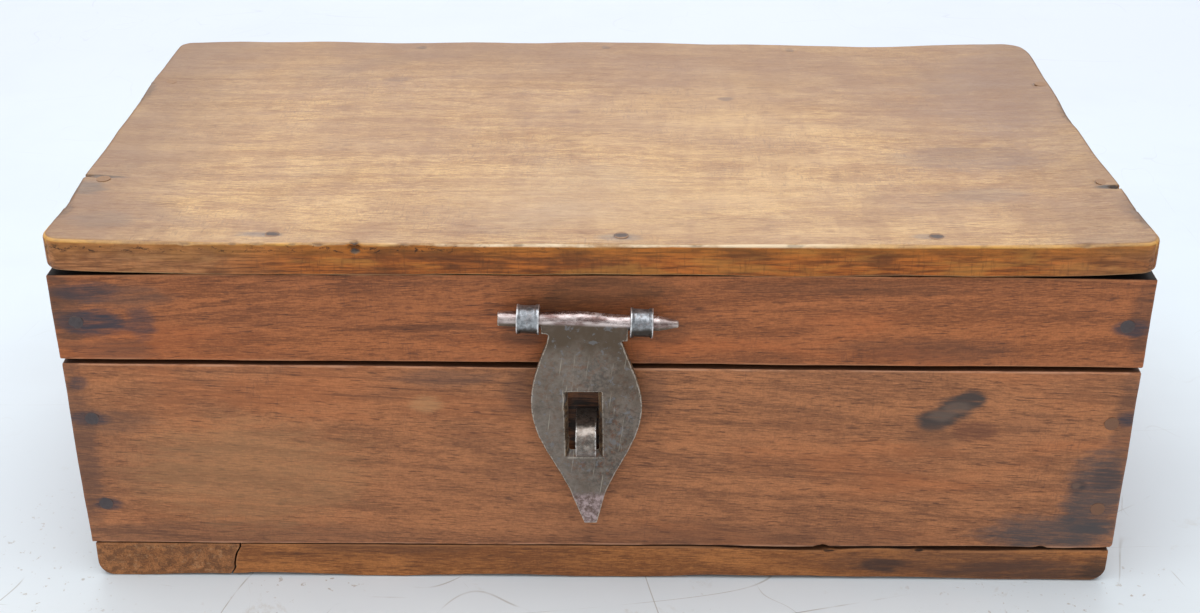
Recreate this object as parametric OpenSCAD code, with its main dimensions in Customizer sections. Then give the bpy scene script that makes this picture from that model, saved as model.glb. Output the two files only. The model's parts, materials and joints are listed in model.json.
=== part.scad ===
// Old wooden spice box with a hinged lid, an iron leaf hasp and six compartments.
// The origin is the middle of the underside. +X is to the right, +Y to the back, +Z up.

/* [Box] */
// Length of the box from left to right
box_w = 280; // [220:5:360]
// Depth of the box from front to back
box_d = 152; // [120:2:220]
// Thickness of the body boards and of the lid rails
wall_t = 10; // [8:0.5:14]
// Thickness of the base board
base_t = 11; // [8:0.5:16]
// Height of the body boards above the base
body_h = 56.5; // [50:0.5:90]
// Radius of the worn lower end corners of the base
base_round = 4.5; // [1:0.5:7]

/* [Base end strip] */
// Width of the strip that pieces out the base at its left end, at its top
strip_w = 40; // [25:1:60]
// How much narrower the strip is at its bottom
strip_slant = 3; // [0:0.5:6]
// Open joint between the strip and the base board
strip_joint = 0.3; // [0.1:0.1:1]

/* [Lid] */
// Open seam between the body and the closed lid
seam_gap = 1; // [0.6:0.1:2]
// How much lower the seam is at the right end of the box than at the left end
seam_drop = 1.3; // [0:0.1:2]
// Height of the lid rails
lid_h = 26; // [26:0.5:45]
// Thickness of the top board
top_t = 9; // [6:0.5:14]
// Overhang of the top board past the front, back and ends
top_over = 1; // [0.5:0.1:1.6]
// Radius of the top board's corners in plan
top_corner = 5; // [2:0.5:12]
// How far the warped ends of the top board lift off the rails
warp_rise = 1.1; // [0.3:0.1:2]
// Length at each end of the top board that has lifted
warp_run = 47; // [30:1:70]

/* [Dividers] */
// Number of compartments along the box
columns = 3; // [1:2:5]
// Thickness of the dividers
divider_t = 5; // [3:0.5:8]
// Height of the dividers above the base
divider_h = 46; // [30:1:49]
// Depth of the grooves that hold the dividers' ends
groove_depth = 2; // [1:0.5:4]
// Clearance of a divider in its groove and in its halving, on each side
divider_fit = 0.1; // [0.05:0.05:0.3]

/* [Nails] */
// Radius of a nail's shank
nail_r = 1; // [0.7:0.1:1.4]
// Radius of a nail's head
nail_head_r = 1.9; // [1.5:0.1:2.4]
// Thickness of a nail's head
nail_head_t = 0.8; // [0.5:0.1:1.4]
// Length of a nail's point
nail_point = 3; // [2:0.5:4]
// Depth of a driven nail's head below the wood
nail_sink = 0.2; // [0.1:0.1:0.6]
// Length of the nails in the boards
nail_length = 24; // [18:1:30]
// Length of the nails in the hinge leaves
hinge_nail_length = 8.5; // [5:0.5:9.5]
// Clearance round a nail in its hole
nail_fit = 0.03; // [0.02:0.01:0.1]

/* [Hinges] */
// Distance from each end of the box to the middle of the nearer hinge
hinge_inset = 50; // [36:1:80]
// Length of a hinge's barrel
hinge_w = 36; // [27:1:48]
// Thickness of the hinge iron
hinge_t = 1.2; // [1:0.1:1.5]
// Radius of the hinge pin
hinge_pin_r = 1.25; // [0.9:0.05:1.6]
// Running clearance between the pin and the knuckles
hinge_fit = 0.05; // [0.03:0.01:0.1]
// Length of a hinge leaf, from the pin's axis to its end
leaf_length = 22; // [18:0.5:24]
// Radius of the rounded end of a hinge leaf
leaf_end_r = 9; // [6:0.5:12]
// Gap between neighbouring knuckles, and round a knuckle in the other leaf
knuckle_gap = 0.3; // [0.2:0.1:0.6]
// Distance from the pin's axis to the nearer nails of a leaf
hinge_nail_rise = 8; // [7:0.5:10]
// Thickness of the pin's peened heads
pin_head_t = 0.8; // [0.5:0.1:1.5]
// How much smaller than the barrel the pin's heads are, in radius
pin_head_step = 0.4; // [0.2:0.1:0.8]

/* [Hasp] */
// Offset of the hasp to the right of the middle of the box
hasp_x = -3.7; // [-30:0.1:30]
// Height of the cross-bar above the lower edge of the lid
bar_rise = 14.9; // [12:0.1:15.5]
// Radius of the cross-bar
bar_r = 2; // [1.5:0.1:2.5]
// Length of the cross-bar to the left of the hasp's middle
bar_left = 22.2; // [20:0.1:30]
// Length of the cross-bar to the right of the hasp's middle
bar_right = 23.9; // [20:0.1:30]
// Length of the pointed right end of the cross-bar
bar_point = 5; // [2:0.5:7]
// Tilt of the cross-bar, right end down, in degrees
bar_tilt = 1.8; // [0:0.1:4]
// Thickness of the hasp leaf
hasp_t = 2; // [1.5:0.1:2.4]
// Width of the head between the two eyes
head_w = 22.2; // [18:0.1:26]
// Length of the head below the cross-bar's axis
head_l = 4; // [3:0.1:6]
// How much lower the head's lower edge is at its right corner than at its middle
head_skew = 0.7; // [0:0.1:1]
// Width of the neck below the head
neck_w = 18.4; // [12:0.1:20]
// How hollow the right shoulder is, where 1 is as full as the left one
shoulder_hollow = 1.25; // [1:0.05:1.5]
// Width of the leaf where it is widest
hasp_w = 29; // [22:0.5:36]
// Distance from the cross-bar's axis to the widest place
hasp_wide = 25; // [20:0.5:30]
// Distance from the cross-bar's axis to the bend of the finger tab
hasp_bend = 54.2; // [50:0.1:60]
// Width of the leaf's point, if it ran on past the bend
hasp_point_w = 6; // [4:0.1:9]
// Length of the curve from the widest place to that point
hasp_taper = 37; // [33:1:45]
// Length of the finger tab
tab_l = 7.9; // [5:0.1:10]
// Width of the finger tab's end
tab_w = 2.7; // [2:0.1:5]
// Offset of the finger tab's end to the right of the leaf's middle line
tab_shift = 0.6; // [-1:0.1:1]
// Angle at which the finger tab is bent outward
tab_bend = 28; // [10:1:40]
// Angle at which the leaf hangs back towards the wood
hasp_hang = 3; // [2:0.1:3.2]
// Sideways lean of the leaf against its head
hasp_lean = 2.5; // [0:0.1:4]
// How far the cross-bar stands proud of the front of the leaf
bar_proud = 0.03; // [0.02:0.01:0.1]

/* [Hasp slot and staples] */
// Width of the slot in the hasp, at its back
slot_w = 7.6; // [7:0.1:9]
// Distance from the cross-bar's axis to the top of the slot
slot_top = 20.4; // [16:0.1:24]
// Distance from the cross-bar's axis to the bottom of the slot
slot_bottom = 39.4; // [39:0.1:44]
// Offset of the slot from the middle line of the leaf
slot_offset = -0.9; // [-1.7:0.1:-0.8]
// Bevel along the slot's sides, at its front
slot_bevel = 1.2; // [0.3:0.1:1.6]
// Bevel along the slot's bottom, at its front
slot_foot = 1.8; // [0.3:0.1:2.4]
// Width of the iron strip of the eyes
eye_w = 5.9; // [4:0.1:7]
// Thickness of the iron strip of the eyes
eye_t = 1.6; // [1.2:0.1:2]
// Clearance of the cross-bar in the eyes
eye_fit = 0.3; // [0.1:0.05:0.4]
// Clearance between the head of the hasp and each eye
eye_side_gap = 0.4; // [0.2:0.1:1]
// Length of each clinched end inside the box
clinch_l = 8; // [5:0.5:10]
// Offset of the lock staple to the right of the middle of the hasp
staple_x = 0.2; // [-0.4:0.1:0.8]
// Clearance between the lock staple and the bottom of the slot
staple_gap = 1.4; // [1:0.1:1.8]
// Width of the lock staple's iron strip
staple_w = 5.4; // [4:0.1:5.6]
// Thickness of the lock staple's iron strip
staple_t = 1.8; // [1.2:0.1:2]
// Outer radius of the lock staple's round end
staple_r = 4.9; // [4.5:0.1:5.2]
// Distance from the front board to the centre of that round end
staple_reach = 7; // [6.5:0.1:9]
// Clearance of a staple's legs in the wood
leg_fit = 0.1; // [0.05:0.05:0.3]

/* [Hidden] */
$fn = 48;

// Drawing allowance for cuts that run through a face
over = 1;
// Straight pieces that stand for each curved stretch of an outline
curve_steps = 12;

front_y = -box_d / 2;
back_y = box_d / 2;
end_x = box_w / 2;
inner_w = box_w - 2 * wall_t;
inner_d = box_d - 2 * wall_t;
rim_z = base_t + body_h;
lid_z = rim_z + seam_gap;
rail_top_z = lid_z + lid_h;
top_w = box_w + 2 * top_over;
top_d = box_d + 2 * top_over;

// Hinge: the barrel lies against the back of the box, at the middle of the seam
knuckle_r = hinge_pin_r + hinge_fit + hinge_t;
hinge_z = rim_z + seam_gap / 2;
hinge_y = back_y + knuckle_r;
knuckle_w = hinge_w / 3 - knuckle_gap;
hinge_x = end_x - hinge_inset;
pin_head_r = knuckle_r - pin_head_step;

// Hasp: the eyes stand against the lid's front rail
eye_r = bar_r + eye_fit + eye_t;
bar_z = lid_z + bar_rise;
bar_y = front_y - eye_r;
eye_x = head_w / 2 + eye_side_gap + eye_w / 2;
// The leaf's front and back faces, measured from the bar's axis
hasp_front = bar_r - bar_proud;
hasp_back = hasp_t - hasp_front;
// The lock staple stands in the hasp's slot, near its bottom
staple_z = bar_z - (slot_bottom - staple_gap - staple_r);

// Nails in the boards, at the middle of the wall they enter
wall_mid = wall_t / 2;
corner_nail_x = end_x - wall_mid;
body_nail_z = [base_t + body_h * 0.23, base_t + body_h * 0.71];
lid_nail_z = lid_z + lid_h * 0.45;
top_nail_x = [for (share = [-0.593, 0.039, 0.607]) share * end_x];
back_nail_x = [for (share = [-0.43, 0, 0.43]) share * end_x];
side_nail_y = [-back_y / 2, back_y / 2];
base_nail_x = concat(-end_x + strip_w * 0.55, [for (share = [-0.37, 0.2, 0.74]) share * end_x]);

// Where the hinges' nails go, from the middle of the leaf and from the pin's axis
hinge_nails = [
    [-hinge_w * 0.32, hinge_nail_rise], [hinge_w * 0.32, hinge_nail_rise],
    [0, leaf_length - leaf_end_r * 0.6]
];

function divider_xs() = [for (i = [1 : columns - 1]) inner_w * (i / columns - 0.5)];

// How much higher than its middle the seam is, at a distance x from the middle
function seam_shift(x) = -seam_drop * x / box_w;

// Lift of the warped top board over the rails, at a distance x from its middle
function warp(x) = warp_rise * pow(max(0, abs(x) - (top_w / 2 - warp_run)) / warp_run, 2);

// Half the hasp leaf's width at a distance s below the cross-bar's axis
function upper_half(s, hollow) =
    neck_w / 2 + (hasp_w - neck_w) / 2 * sin(90 * pow((s - head_l) / (hasp_wide - head_l), hollow));
function lower_half(s) =
    hasp_point_w / 2 + (hasp_w - hasp_point_w) / 4 * (1 + cos(180 * (s - hasp_wide) / hasp_taper));
function leaf_half(s, hollow = 1) = s < hasp_wide ? upper_half(s, hollow) : lower_half(s);

// A point of the head, given square to the cross-bar, as the leaning leaf's outline needs it
function leaning(x, z) =
    [x * cos(hasp_lean) + z * sin(hasp_lean), z * cos(hasp_lean) - x * sin(hasp_lean)];

// Height of the head's skewed lower edge at a distance x from its middle
function head_edge(x) = -head_l - head_skew * x / (head_w / 2);

// A board that fills a box between two corners
module board(low, high) {
    translate(low) cube(high - low);
}

// What is above (way 1) or below (way -1) a line that runs with the seam at the height z
module beyond_seam(z, way) {
    reach = end_x + over;
    far = z + way * (seam_drop + 2 * over);
    translate([0, back_y + over, 0]) rotate([90, 0, 0]) linear_extrude(box_d + 2 * over)
        polygon([
            [-reach, z + seam_shift(-reach)], [reach, z + seam_shift(reach)],
            [reach, far], [-reach, far]
        ]);
}

// A driven nail with its head at the origin and its point towards -Z
module nail(length, grow = 0) {
    shank_l = length - nail_point - nail_head_t / 2;
    translate([0, 0, -nail_head_t - grow]) cylinder(r = nail_head_r + grow, h = nail_head_t + grow);
    translate([0, 0, nail_point - length]) cylinder(r = nail_r + grow, h = shank_l);
    translate([0, 0, -length]) cylinder(r1 = nail_r / 4 + grow, r2 = nail_r + grow, h = nail_point);
}

// The hole that a nail has made, with the dent that its head has sunk into
module nail_hole(length) {
    nail(length, nail_fit);
    cylinder(r = nail_head_r + nail_fit, h = over);
}

module at_top_nails() {
    head_z = rail_top_z + top_t - nail_sink;
    for (x = top_nail_x) translate([x, front_y + wall_mid, head_z]) children();
    for (x = back_nail_x) translate([x, back_y - wall_mid, head_z]) children();
    for (side = [-1, 1], y = side_nail_y)
        translate([side * corner_nail_x, y, head_z + warp(corner_nail_x)]) children();
}

module at_base_nails() {
    for (side = [-1, 1], x = base_nail_x)
        translate([x, side * (back_y - wall_mid), nail_sink]) rotate([180, 0, 0]) children();
    for (side = [-1, 1])
        translate([side * corner_nail_x, 0, nail_sink]) rotate([180, 0, 0]) children();
}

// Nails through the front and back into the ends of the side pieces, at the heights zs
module at_corner_nails(zs) {
    for (side = [-1, 1], end = [-1, 1], z = zs)
        translate([end * corner_nail_x, side * (back_y - nail_sink), z])
            rotate([-side * 90, 0, 0]) children();
}

// The frame of the hasp: its middle on the cross-bar's axis, tilted with the bar
module at_hasp() {
    translate([hasp_x, bar_y, bar_z]) rotate([0, bar_tilt, 0]) children();
}

// The hinges' nails in the leaf that reaches up (1) or down (-1), at one hinge
module at_hinge_nails(x, way) {
    for (p = hinge_nails)
        translate([x + p[0], back_y + hinge_t + nail_head_t, hinge_z + way * p[1]])
            rotate([-90, 0, 0]) children();
}

module base_outline() {
    round_x = end_x - base_round;
    translate([-end_x, base_round]) square([box_w, base_t - base_round]);
    translate([-round_x, 0]) square([2 * round_x, base_t]);
    for (side = [-1, 1]) translate([side * round_x, base_round]) circle(base_round);
}

// The slanted joint of the strip at its right side, drawn in the plane of the front
module strip_outline(grow) {
    polygon([
        [-end_x - over, -over], [-end_x + strip_w - strip_slant + grow, -over],
        [-end_x + strip_w - strip_slant + grow, 0], [-end_x + strip_w + grow, base_t],
        [-end_x + strip_w + grow, base_t + over], [-end_x - over, base_t + over]
    ]);
}

module along_depth() {
    translate([0, back_y, 0]) rotate([90, 0, 0]) linear_extrude(box_d) children();
}

module base_board() {
    color("peru") difference() {
        along_depth() difference() {
            base_outline();
            strip_outline(strip_joint);
        }
        at_base_nails() nail_hole(nail_length);
    }
}

module base_end_strip() {
    color("sienna") difference() {
        along_depth() intersection() {
            base_outline();
            strip_outline(0);
        }
        at_base_nails() nail_hole(nail_length);
    }
}

// Grooves for the cross dividers in the front and back, and for the long one in the sides
module grooves() {
    slot = divider_t + 2 * divider_fit;
    for (x = divider_xs())
        translate([x - slot / 2, -inner_d / 2 - groove_depth, base_t - over])
            cube([slot, inner_d + 2 * groove_depth, body_h + seam_drop + 2 * over]);
    translate([-inner_w / 2 - groove_depth, -slot / 2, base_t - over])
        cube([inner_w + 2 * groove_depth, slot, body_h + seam_drop + 2 * over]);
}

module body_nail_holes() {
    at_base_nails() nail_hole(nail_length);
    at_corner_nails(body_nail_z) nail_hole(nail_length);
    for (side = [-1, 1]) at_hinge_nails(side * hinge_x, -1) nail_hole(hinge_nail_length);
}

// A board of the body, given by its plan; its upper edge runs with the seam
module body_board(low, high) {
    color("sienna") difference() {
        board([low.x, low.y, base_t], [high.x, high.y, rim_z + seam_drop]);
        beyond_seam(rim_z, 1);
        grooves();
        body_nail_holes();
    }
}

module body_front_board() {
    difference() {
        body_board([-end_x, front_y], [end_x, front_y + wall_t]);
        lock_staple_legs(leg_fit);
    }
}

module body_back_board() {
    body_board([-end_x, back_y - wall_t], [end_x, back_y]);
}

module body_left_board() {
    body_board([-end_x, front_y + wall_t], [-end_x + wall_t, back_y - wall_t]);
}

module body_right_board() {
    body_board([end_x - wall_t, front_y + wall_t], [end_x, back_y - wall_t]);
}

// The dividers are halved over each other: the long one is cut from above
module divider_long() {
    half = inner_w / 2 + groove_depth - divider_fit;
    slot = divider_t + 2 * divider_fit;
    color("chocolate") difference() {
        board([-half, -divider_t / 2, base_t], [half, divider_t / 2, base_t + divider_h]);
        for (x = divider_xs())
            translate([x - slot / 2, -divider_t, base_t + divider_h / 2])
                cube([slot, 2 * divider_t, divider_h]);
    }
}

module dividers_cross() {
    half = inner_d / 2 + groove_depth - divider_fit;
    slot = divider_t + 2 * divider_fit;
    color("chocolate") for (x = divider_xs()) difference() {
        board([x - divider_t / 2, -half, base_t], [x + divider_t / 2, half, base_t + divider_h]);
        translate([x - divider_t, -slot / 2, base_t - over])
            cube([2 * divider_t, slot, divider_h / 2 + over + divider_fit]);
    }
}

module base_nails() {
    color("dimgray") at_base_nails() nail(nail_length);
}

module body_corner_nails() {
    color("dimgray") at_corner_nails(body_nail_z) nail(nail_length);
}

// The lid's top board: a plank whose ends have lifted, with rounded corners in plan
module top_profile() {
    xs = [for (i = [0 : curve_steps]) top_w / 2 - warp_run * (1 - i / curve_steps)];
    right = [for (x = xs) [x, warp(x)]];
    right_back = [for (i = [curve_steps : -1 : 0]) [xs[i], top_t + warp(xs[i])]];
    left_back = [for (x = xs) [-x, top_t + warp(x)]];
    left = [for (i = [curve_steps : -1 : 0]) [-xs[i], warp(xs[i])]];
    polygon(concat(right, right_back, left_back, left));
}

module rounded_plan(w, d, r) {
    square([w - 2 * r, d], center = true);
    square([w, d - 2 * r], center = true);
    for (x = [-1, 1], y = [-1, 1]) translate([x * (w / 2 - r), y * (d / 2 - r)]) circle(r);
}

module lid_top_board() {
    color("burlywood") difference() {
        intersection() {
            translate([0, top_d / 2, rail_top_z]) rotate([90, 0, 0]) linear_extrude(top_d) top_profile();
            translate([0, 0, rail_top_z - over])
                linear_extrude(top_t + warp_rise + 2 * over) rounded_plan(top_w, top_d, top_corner);
        }
        at_top_nails() nail_hole(nail_length);
    }
}

// A rail of the lid, given by its plan; its lower edge runs with the seam
module lid_rail(low, high) {
    color("sienna") difference() {
        board([low.x, low.y, lid_z - seam_drop], [high.x, high.y, rail_top_z]);
        beyond_seam(lid_z, -1);
        at_top_nails() nail_hole(nail_length);
        at_corner_nails([lid_nail_z]) nail_hole(nail_length);
        for (side = [-1, 1]) at_hinge_nails(side * hinge_x, 1) nail_hole(hinge_nail_length);
    }
}

module lid_front_rail() {
    difference() {
        lid_rail([-end_x, front_y], [end_x, front_y + wall_t]);
        for (side = [-1, 1]) hasp_eye_legs(side, leg_fit);
    }
}

module lid_back_rail() {
    lid_rail([-end_x, back_y - wall_t], [end_x, back_y]);
}

module lid_left_rail() {
    lid_rail([-end_x, front_y + wall_t], [-end_x + wall_t, back_y - wall_t]);
}

module lid_right_rail() {
    lid_rail([end_x - wall_t, front_y + wall_t], [end_x, back_y - wall_t]);
}

module lid_top_nails() {
    color("dimgray") at_top_nails() nail(nail_length);
}

module lid_corner_nails() {
    color("dimgray") at_corner_nails([lid_nail_z]) nail(nail_length);
}

// A hinge leaf seen from behind: straight at the barrel, tapering to a round end
module leaf_outline() {
    end_y = leaf_length - leaf_end_r;
    polygon([[-hinge_w / 2, 0], [hinge_w / 2, 0], [leaf_end_r, end_y], [-leaf_end_r, end_y]]);
    translate([0, end_y]) circle(leaf_end_r);
}

module knuckle(from_x, length, r) {
    translate([from_x, 0, 0]) rotate([0, 90, 0]) cylinder(r = r, h = length);
}

// One leaf at the hinge's own origin on the pin's axis. way is 1 for the lid, -1 for the body.
// The body's leaf has the two outer knuckles and the lid's leaf has the middle one.
module hinge_leaf(way) {
    outer_x = hinge_w / 2 - knuckle_w;
    relief_r = knuckle_r + knuckle_gap;
    color("dimgray") difference() {
        union() {
            difference() {
                translate([0, -knuckle_r + hinge_t, 0]) rotate([90, 0, 0])
                    linear_extrude(hinge_t) scale([1, way]) leaf_outline();
                if (way < 0) knuckle(-outer_x, 2 * outer_x, relief_r);
                if (way > 0) knuckle(-hinge_w, hinge_w - outer_x + knuckle_gap, relief_r);
                if (way > 0) knuckle(outer_x - knuckle_gap, hinge_w, relief_r);
            }
            if (way < 0) knuckle(-hinge_w / 2, knuckle_w, knuckle_r);
            if (way < 0) knuckle(outer_x, knuckle_w, knuckle_r);
            if (way > 0) knuckle(-outer_x + knuckle_gap, 2 * (outer_x - knuckle_gap), knuckle_r);
        }
        knuckle(-hinge_w, 2 * hinge_w, hinge_pin_r + hinge_fit);
    }
}

module hinge_leaf_at(x, way) {
    difference() {
        translate([x, hinge_y, hinge_z]) hinge_leaf(way);
        at_hinge_nails(x, way) nail_hole(hinge_nail_length);
    }
}

// A pin with a peened head against each end of the barrel
module hinge_pin(x) {
    color("gray") translate([x, hinge_y, hinge_z]) {
        knuckle(-hinge_w / 2 - pin_head_t / 2, hinge_w + pin_head_t, hinge_pin_r);
        knuckle(-hinge_w / 2 - pin_head_t, pin_head_t, pin_head_r);
        knuckle(hinge_w / 2, pin_head_t, pin_head_r);
    }
}

module hinge_left_body_leaf() { hinge_leaf_at(-hinge_x, -1); }
module hinge_right_body_leaf() { hinge_leaf_at(hinge_x, -1); }
module hinge_left_lid_leaf() { hinge_leaf_at(-hinge_x, 1); }
module hinge_right_lid_leaf() { hinge_leaf_at(hinge_x, 1); }
module hinge_left_pin() { hinge_pin(-hinge_x); }
module hinge_right_pin() { hinge_pin(hinge_x); }

module hinge_body_nails() {
    color("dimgray") for (side = [-1, 1]) at_hinge_nails(side * hinge_x, -1) nail(hinge_nail_length);
}

module hinge_lid_nails() {
    color("dimgray") for (side = [-1, 1]) at_hinge_nails(side * hinge_x, 1) nail(hinge_nail_length);
}

// The two legs of an eye lie on each other as they go through the rail
module hasp_eye_legs(side, grow) {
    at_hasp() translate([side * eye_x - eye_w / 2 - grow, 0, -eye_t - grow])
        cube([eye_w + 2 * grow, eye_r + wall_t + over, 2 * eye_t + 2 * grow]);
}

// An eye: an iron strip bent round the cross-bar, driven through and clinched inside
module hasp_eye(side) {
    inside_y = eye_r + wall_t;
    color("silver") at_hasp() translate([side * eye_x - eye_w / 2, 0, 0]) {
        rotate([90, 0, 90]) linear_extrude(eye_w) difference() {
            union() {
                circle(eye_r);
                translate([0, -eye_t]) square([inside_y + eye_t, 2 * eye_t]);
                translate([inside_y, -clinch_l]) square([eye_t, 2 * clinch_l]);
            }
            circle(bar_r + eye_fit);
        }
    }
}

module hasp_eye_left() { hasp_eye(-1); }
module hasp_eye_right() { hasp_eye(1); }

module cross_bar() {
    rotate([0, 90, 0]) {
        translate([0, 0, -bar_left]) cylinder(r = bar_r, h = bar_left + bar_right - bar_point);
        translate([0, 0, bar_right - bar_point]) cylinder(r1 = bar_r, r2 = bar_r * 0.45, h = bar_point);
    }
}

// The outline of the head, the leaf and the finger tab, with -Y down the leaf
module hasp_outline() {
    upper = [for (i = [1 : curve_steps]) head_l + (hasp_wide - head_l) * i / curve_steps];
    lower = [for (i = [1 : curve_steps]) hasp_wide + (hasp_bend - hasp_wide) * i / curve_steps];
    down = concat(upper, lower);
    last = len(down) - 1;
    half_head = head_w / 2;
    half_neck = neck_w / 2;
    tab_end = -hasp_bend - tab_l * cos(tab_bend);
    polygon(concat(
        [leaning(half_head, 0), leaning(half_head, head_edge(half_head))],
        [leaning(half_neck, head_edge(half_neck))],
        [for (s = down) [leaf_half(s, shoulder_hollow), -s]],
        [[tab_shift + tab_w / 2, tab_end], [tab_shift - tab_w / 2, tab_end]],
        [for (i = [last : -1 : 0]) [-leaf_half(down[i]), -down[i]]],
        [leaning(-half_neck, head_edge(-half_neck))],
        [leaning(-half_head, head_edge(-half_head)), leaning(-half_head, 0)]
    ));
}

// The iron seen from its side: straight down to the bend, then out along the finger tab
module hasp_side() {
    tab_out = tab_l * sin(tab_bend);
    tab_down = tab_l * cos(tab_bend);
    polygon([
        [hasp_back, 0], [hasp_back, -hasp_bend],
        [hasp_back - tab_out, -hasp_bend - tab_down],
        [hasp_back - tab_out - hasp_t * cos(tab_bend), -hasp_bend - tab_down + hasp_t * sin(tab_bend)],
        [-hasp_front, -hasp_bend + hasp_t * tan(tab_bend / 2)], [-hasp_front, 0]
    ]);
}

// The slot for the lock staple, with sides and a foot that open towards the front of the leaf
module hasp_slot() {
    reach_front = -hasp_front - over;
    reach_back = hasp_back + over;
    slope = over / hasp_t;
    side_front = slot_w / 2 + slot_bevel * (1 + slope);
    side_back = slot_w / 2 - slot_bevel * slope;
    foot_front = -slot_bottom - slot_foot * (1 + slope);
    foot_back = -slot_bottom + slot_foot * slope;
    intersection() {
        translate([slot_offset, 0, foot_front - over]) linear_extrude(-slot_top - foot_front + over)
            polygon([
                [-side_front, reach_front], [side_front, reach_front],
                [side_back, reach_back], [-side_back, reach_back]
            ]);
        translate([slot_offset - side_front - over, 0, 0]) rotate([90, 0, 90])
            linear_extrude(2 * (side_front + over))
                polygon([
                    [reach_front, foot_front], [reach_back, foot_back],
                    [reach_back, over], [reach_front, over]
                ]);
    }
}

// The head, the leaf and the finger tab: one piece of flat iron, bent and cut to its outline
module hasp_plate() {
    intersection() {
        translate([-box_w / 2, 0, 0]) rotate([90, 0, 90]) linear_extrude(box_w) hasp_side();
        translate([0, box_d / 2, 0]) rotate([90, 0, 0]) linear_extrude(box_d) hasp_outline();
    }
}

// The hasp is forged in one piece with its cross-bar, which turns in the eyes
module hasp() {
    color("darkslategray") at_hasp() rotate([hasp_hang, 0, 0]) difference() {
        union() {
            cross_bar();
            rotate([0, -hasp_lean, 0]) hasp_plate();
        }
        rotate([0, -hasp_lean, 0]) hasp_slot();
    }
}

// The lock staple's side outline: Y runs from the front board out to the front, X is up
module staple_outline() {
    inner_r = staple_r - staple_t;
    inside = -wall_t;
    translate([0, staple_reach]) difference() {
        circle(staple_r);
        circle(inner_r);
        translate([-staple_r - over, -staple_r - over])
            square([2 * (staple_r + over), staple_r + over]);
    }
    for (side = [0, 1]) mirror([side, 0]) {
        translate([inner_r, inside - staple_t]) square([staple_t, staple_reach + wall_t + staple_t]);
        translate([inner_r, inside - staple_t]) square([clinch_l, staple_t]);
    }
}

module at_staple() {
    translate([hasp_x + staple_x, front_y, staple_z]) children();
}

module lock_staple() {
    color("gray") at_staple() translate([-staple_w / 2, 0, 0])
        rotate([0, -90, 180]) linear_extrude(staple_w) staple_outline();
}

// The two legs, for the slots that they fill in the front board
module lock_staple_legs(grow) {
    inner_r = staple_r - staple_t;
    at_staple() for (side = [-1, 1])
        translate([-staple_w / 2 - grow, -over, side * (inner_r + staple_t / 2) - staple_t / 2 - grow])
            cube([staple_w + 2 * grow, wall_t + 2 * over, staple_t + 2 * grow]);
}

base_board();
base_end_strip();
body_front_board();
body_back_board();
body_left_board();
body_right_board();
divider_long();
dividers_cross();
base_nails();
body_corner_nails();
lock_staple();
hinge_left_body_leaf();
hinge_right_body_leaf();
hinge_left_pin();
hinge_right_pin();
hinge_body_nails();
lid_top_board();
lid_front_rail();
lid_back_rail();
lid_left_rail();
lid_right_rail();
lid_top_nails();
lid_corner_nails();
hinge_left_lid_leaf();
hinge_right_lid_leaf();
hinge_lid_nails();
hasp_eye_left();
hasp_eye_right();
hasp();
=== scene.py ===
# Looks of the old wooden spice box: worn boards, forged iron, a pale table and soft daylight.
import json
import math

import bpy
import numpy as np
from mathutils import Matrix, Vector

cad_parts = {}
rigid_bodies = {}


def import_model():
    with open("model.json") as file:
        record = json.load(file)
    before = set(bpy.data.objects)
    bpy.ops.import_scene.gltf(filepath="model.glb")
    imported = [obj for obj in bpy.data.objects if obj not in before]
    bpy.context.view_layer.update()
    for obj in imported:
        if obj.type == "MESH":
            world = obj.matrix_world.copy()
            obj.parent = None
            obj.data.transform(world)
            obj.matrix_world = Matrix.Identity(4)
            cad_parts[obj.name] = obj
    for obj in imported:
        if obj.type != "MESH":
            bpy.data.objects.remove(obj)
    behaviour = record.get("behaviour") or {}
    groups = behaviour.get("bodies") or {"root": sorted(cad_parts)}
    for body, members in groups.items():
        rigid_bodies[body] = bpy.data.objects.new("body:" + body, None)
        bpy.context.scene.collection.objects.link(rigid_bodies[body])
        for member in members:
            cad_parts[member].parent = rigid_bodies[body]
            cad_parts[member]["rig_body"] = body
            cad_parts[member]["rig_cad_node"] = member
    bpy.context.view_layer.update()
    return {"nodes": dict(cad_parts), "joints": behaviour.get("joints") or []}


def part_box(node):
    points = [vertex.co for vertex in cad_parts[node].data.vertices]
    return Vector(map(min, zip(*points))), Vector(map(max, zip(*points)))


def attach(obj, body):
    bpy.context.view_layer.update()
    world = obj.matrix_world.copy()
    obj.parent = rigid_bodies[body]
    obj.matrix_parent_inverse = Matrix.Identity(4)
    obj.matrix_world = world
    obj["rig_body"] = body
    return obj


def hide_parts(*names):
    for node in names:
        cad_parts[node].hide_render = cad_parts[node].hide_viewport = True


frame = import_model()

MM = 0.001
joints = {joint["name"]: joint for joint in frame["joints"]}
bar_axis = Vector(joints["hasp_hinge"]["pos_m"])


# Sizes of the box in mm, from the frame
def sizes_of(node):
    low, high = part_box(node)
    return np.array(low) / MM, np.array(high) / MM


TOP_THICK = 9.0
SEAM_DROP = 1.3
WARP_RUN = 47.0
WALL_MID = 5.0
FRONT = sizes_of("body_front_board")[0][1]
END = sizes_of("body_front_board")[1][0]
DEPTH = sizes_of("body_back_board")[1][1]
RIM = sizes_of("body_front_board")[1][2] - SEAM_DROP / 2
BASE = sizes_of("base_board")[1][2]
LID = sizes_of("lid_front_rail")[0][2] + SEAM_DROP / 2
RAIL_TOP = sizes_of("lid_front_rail")[1][2]
BOARD_TOP = RAIL_TOP + TOP_THICK
TOP = BOARD_TOP * MM

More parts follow.
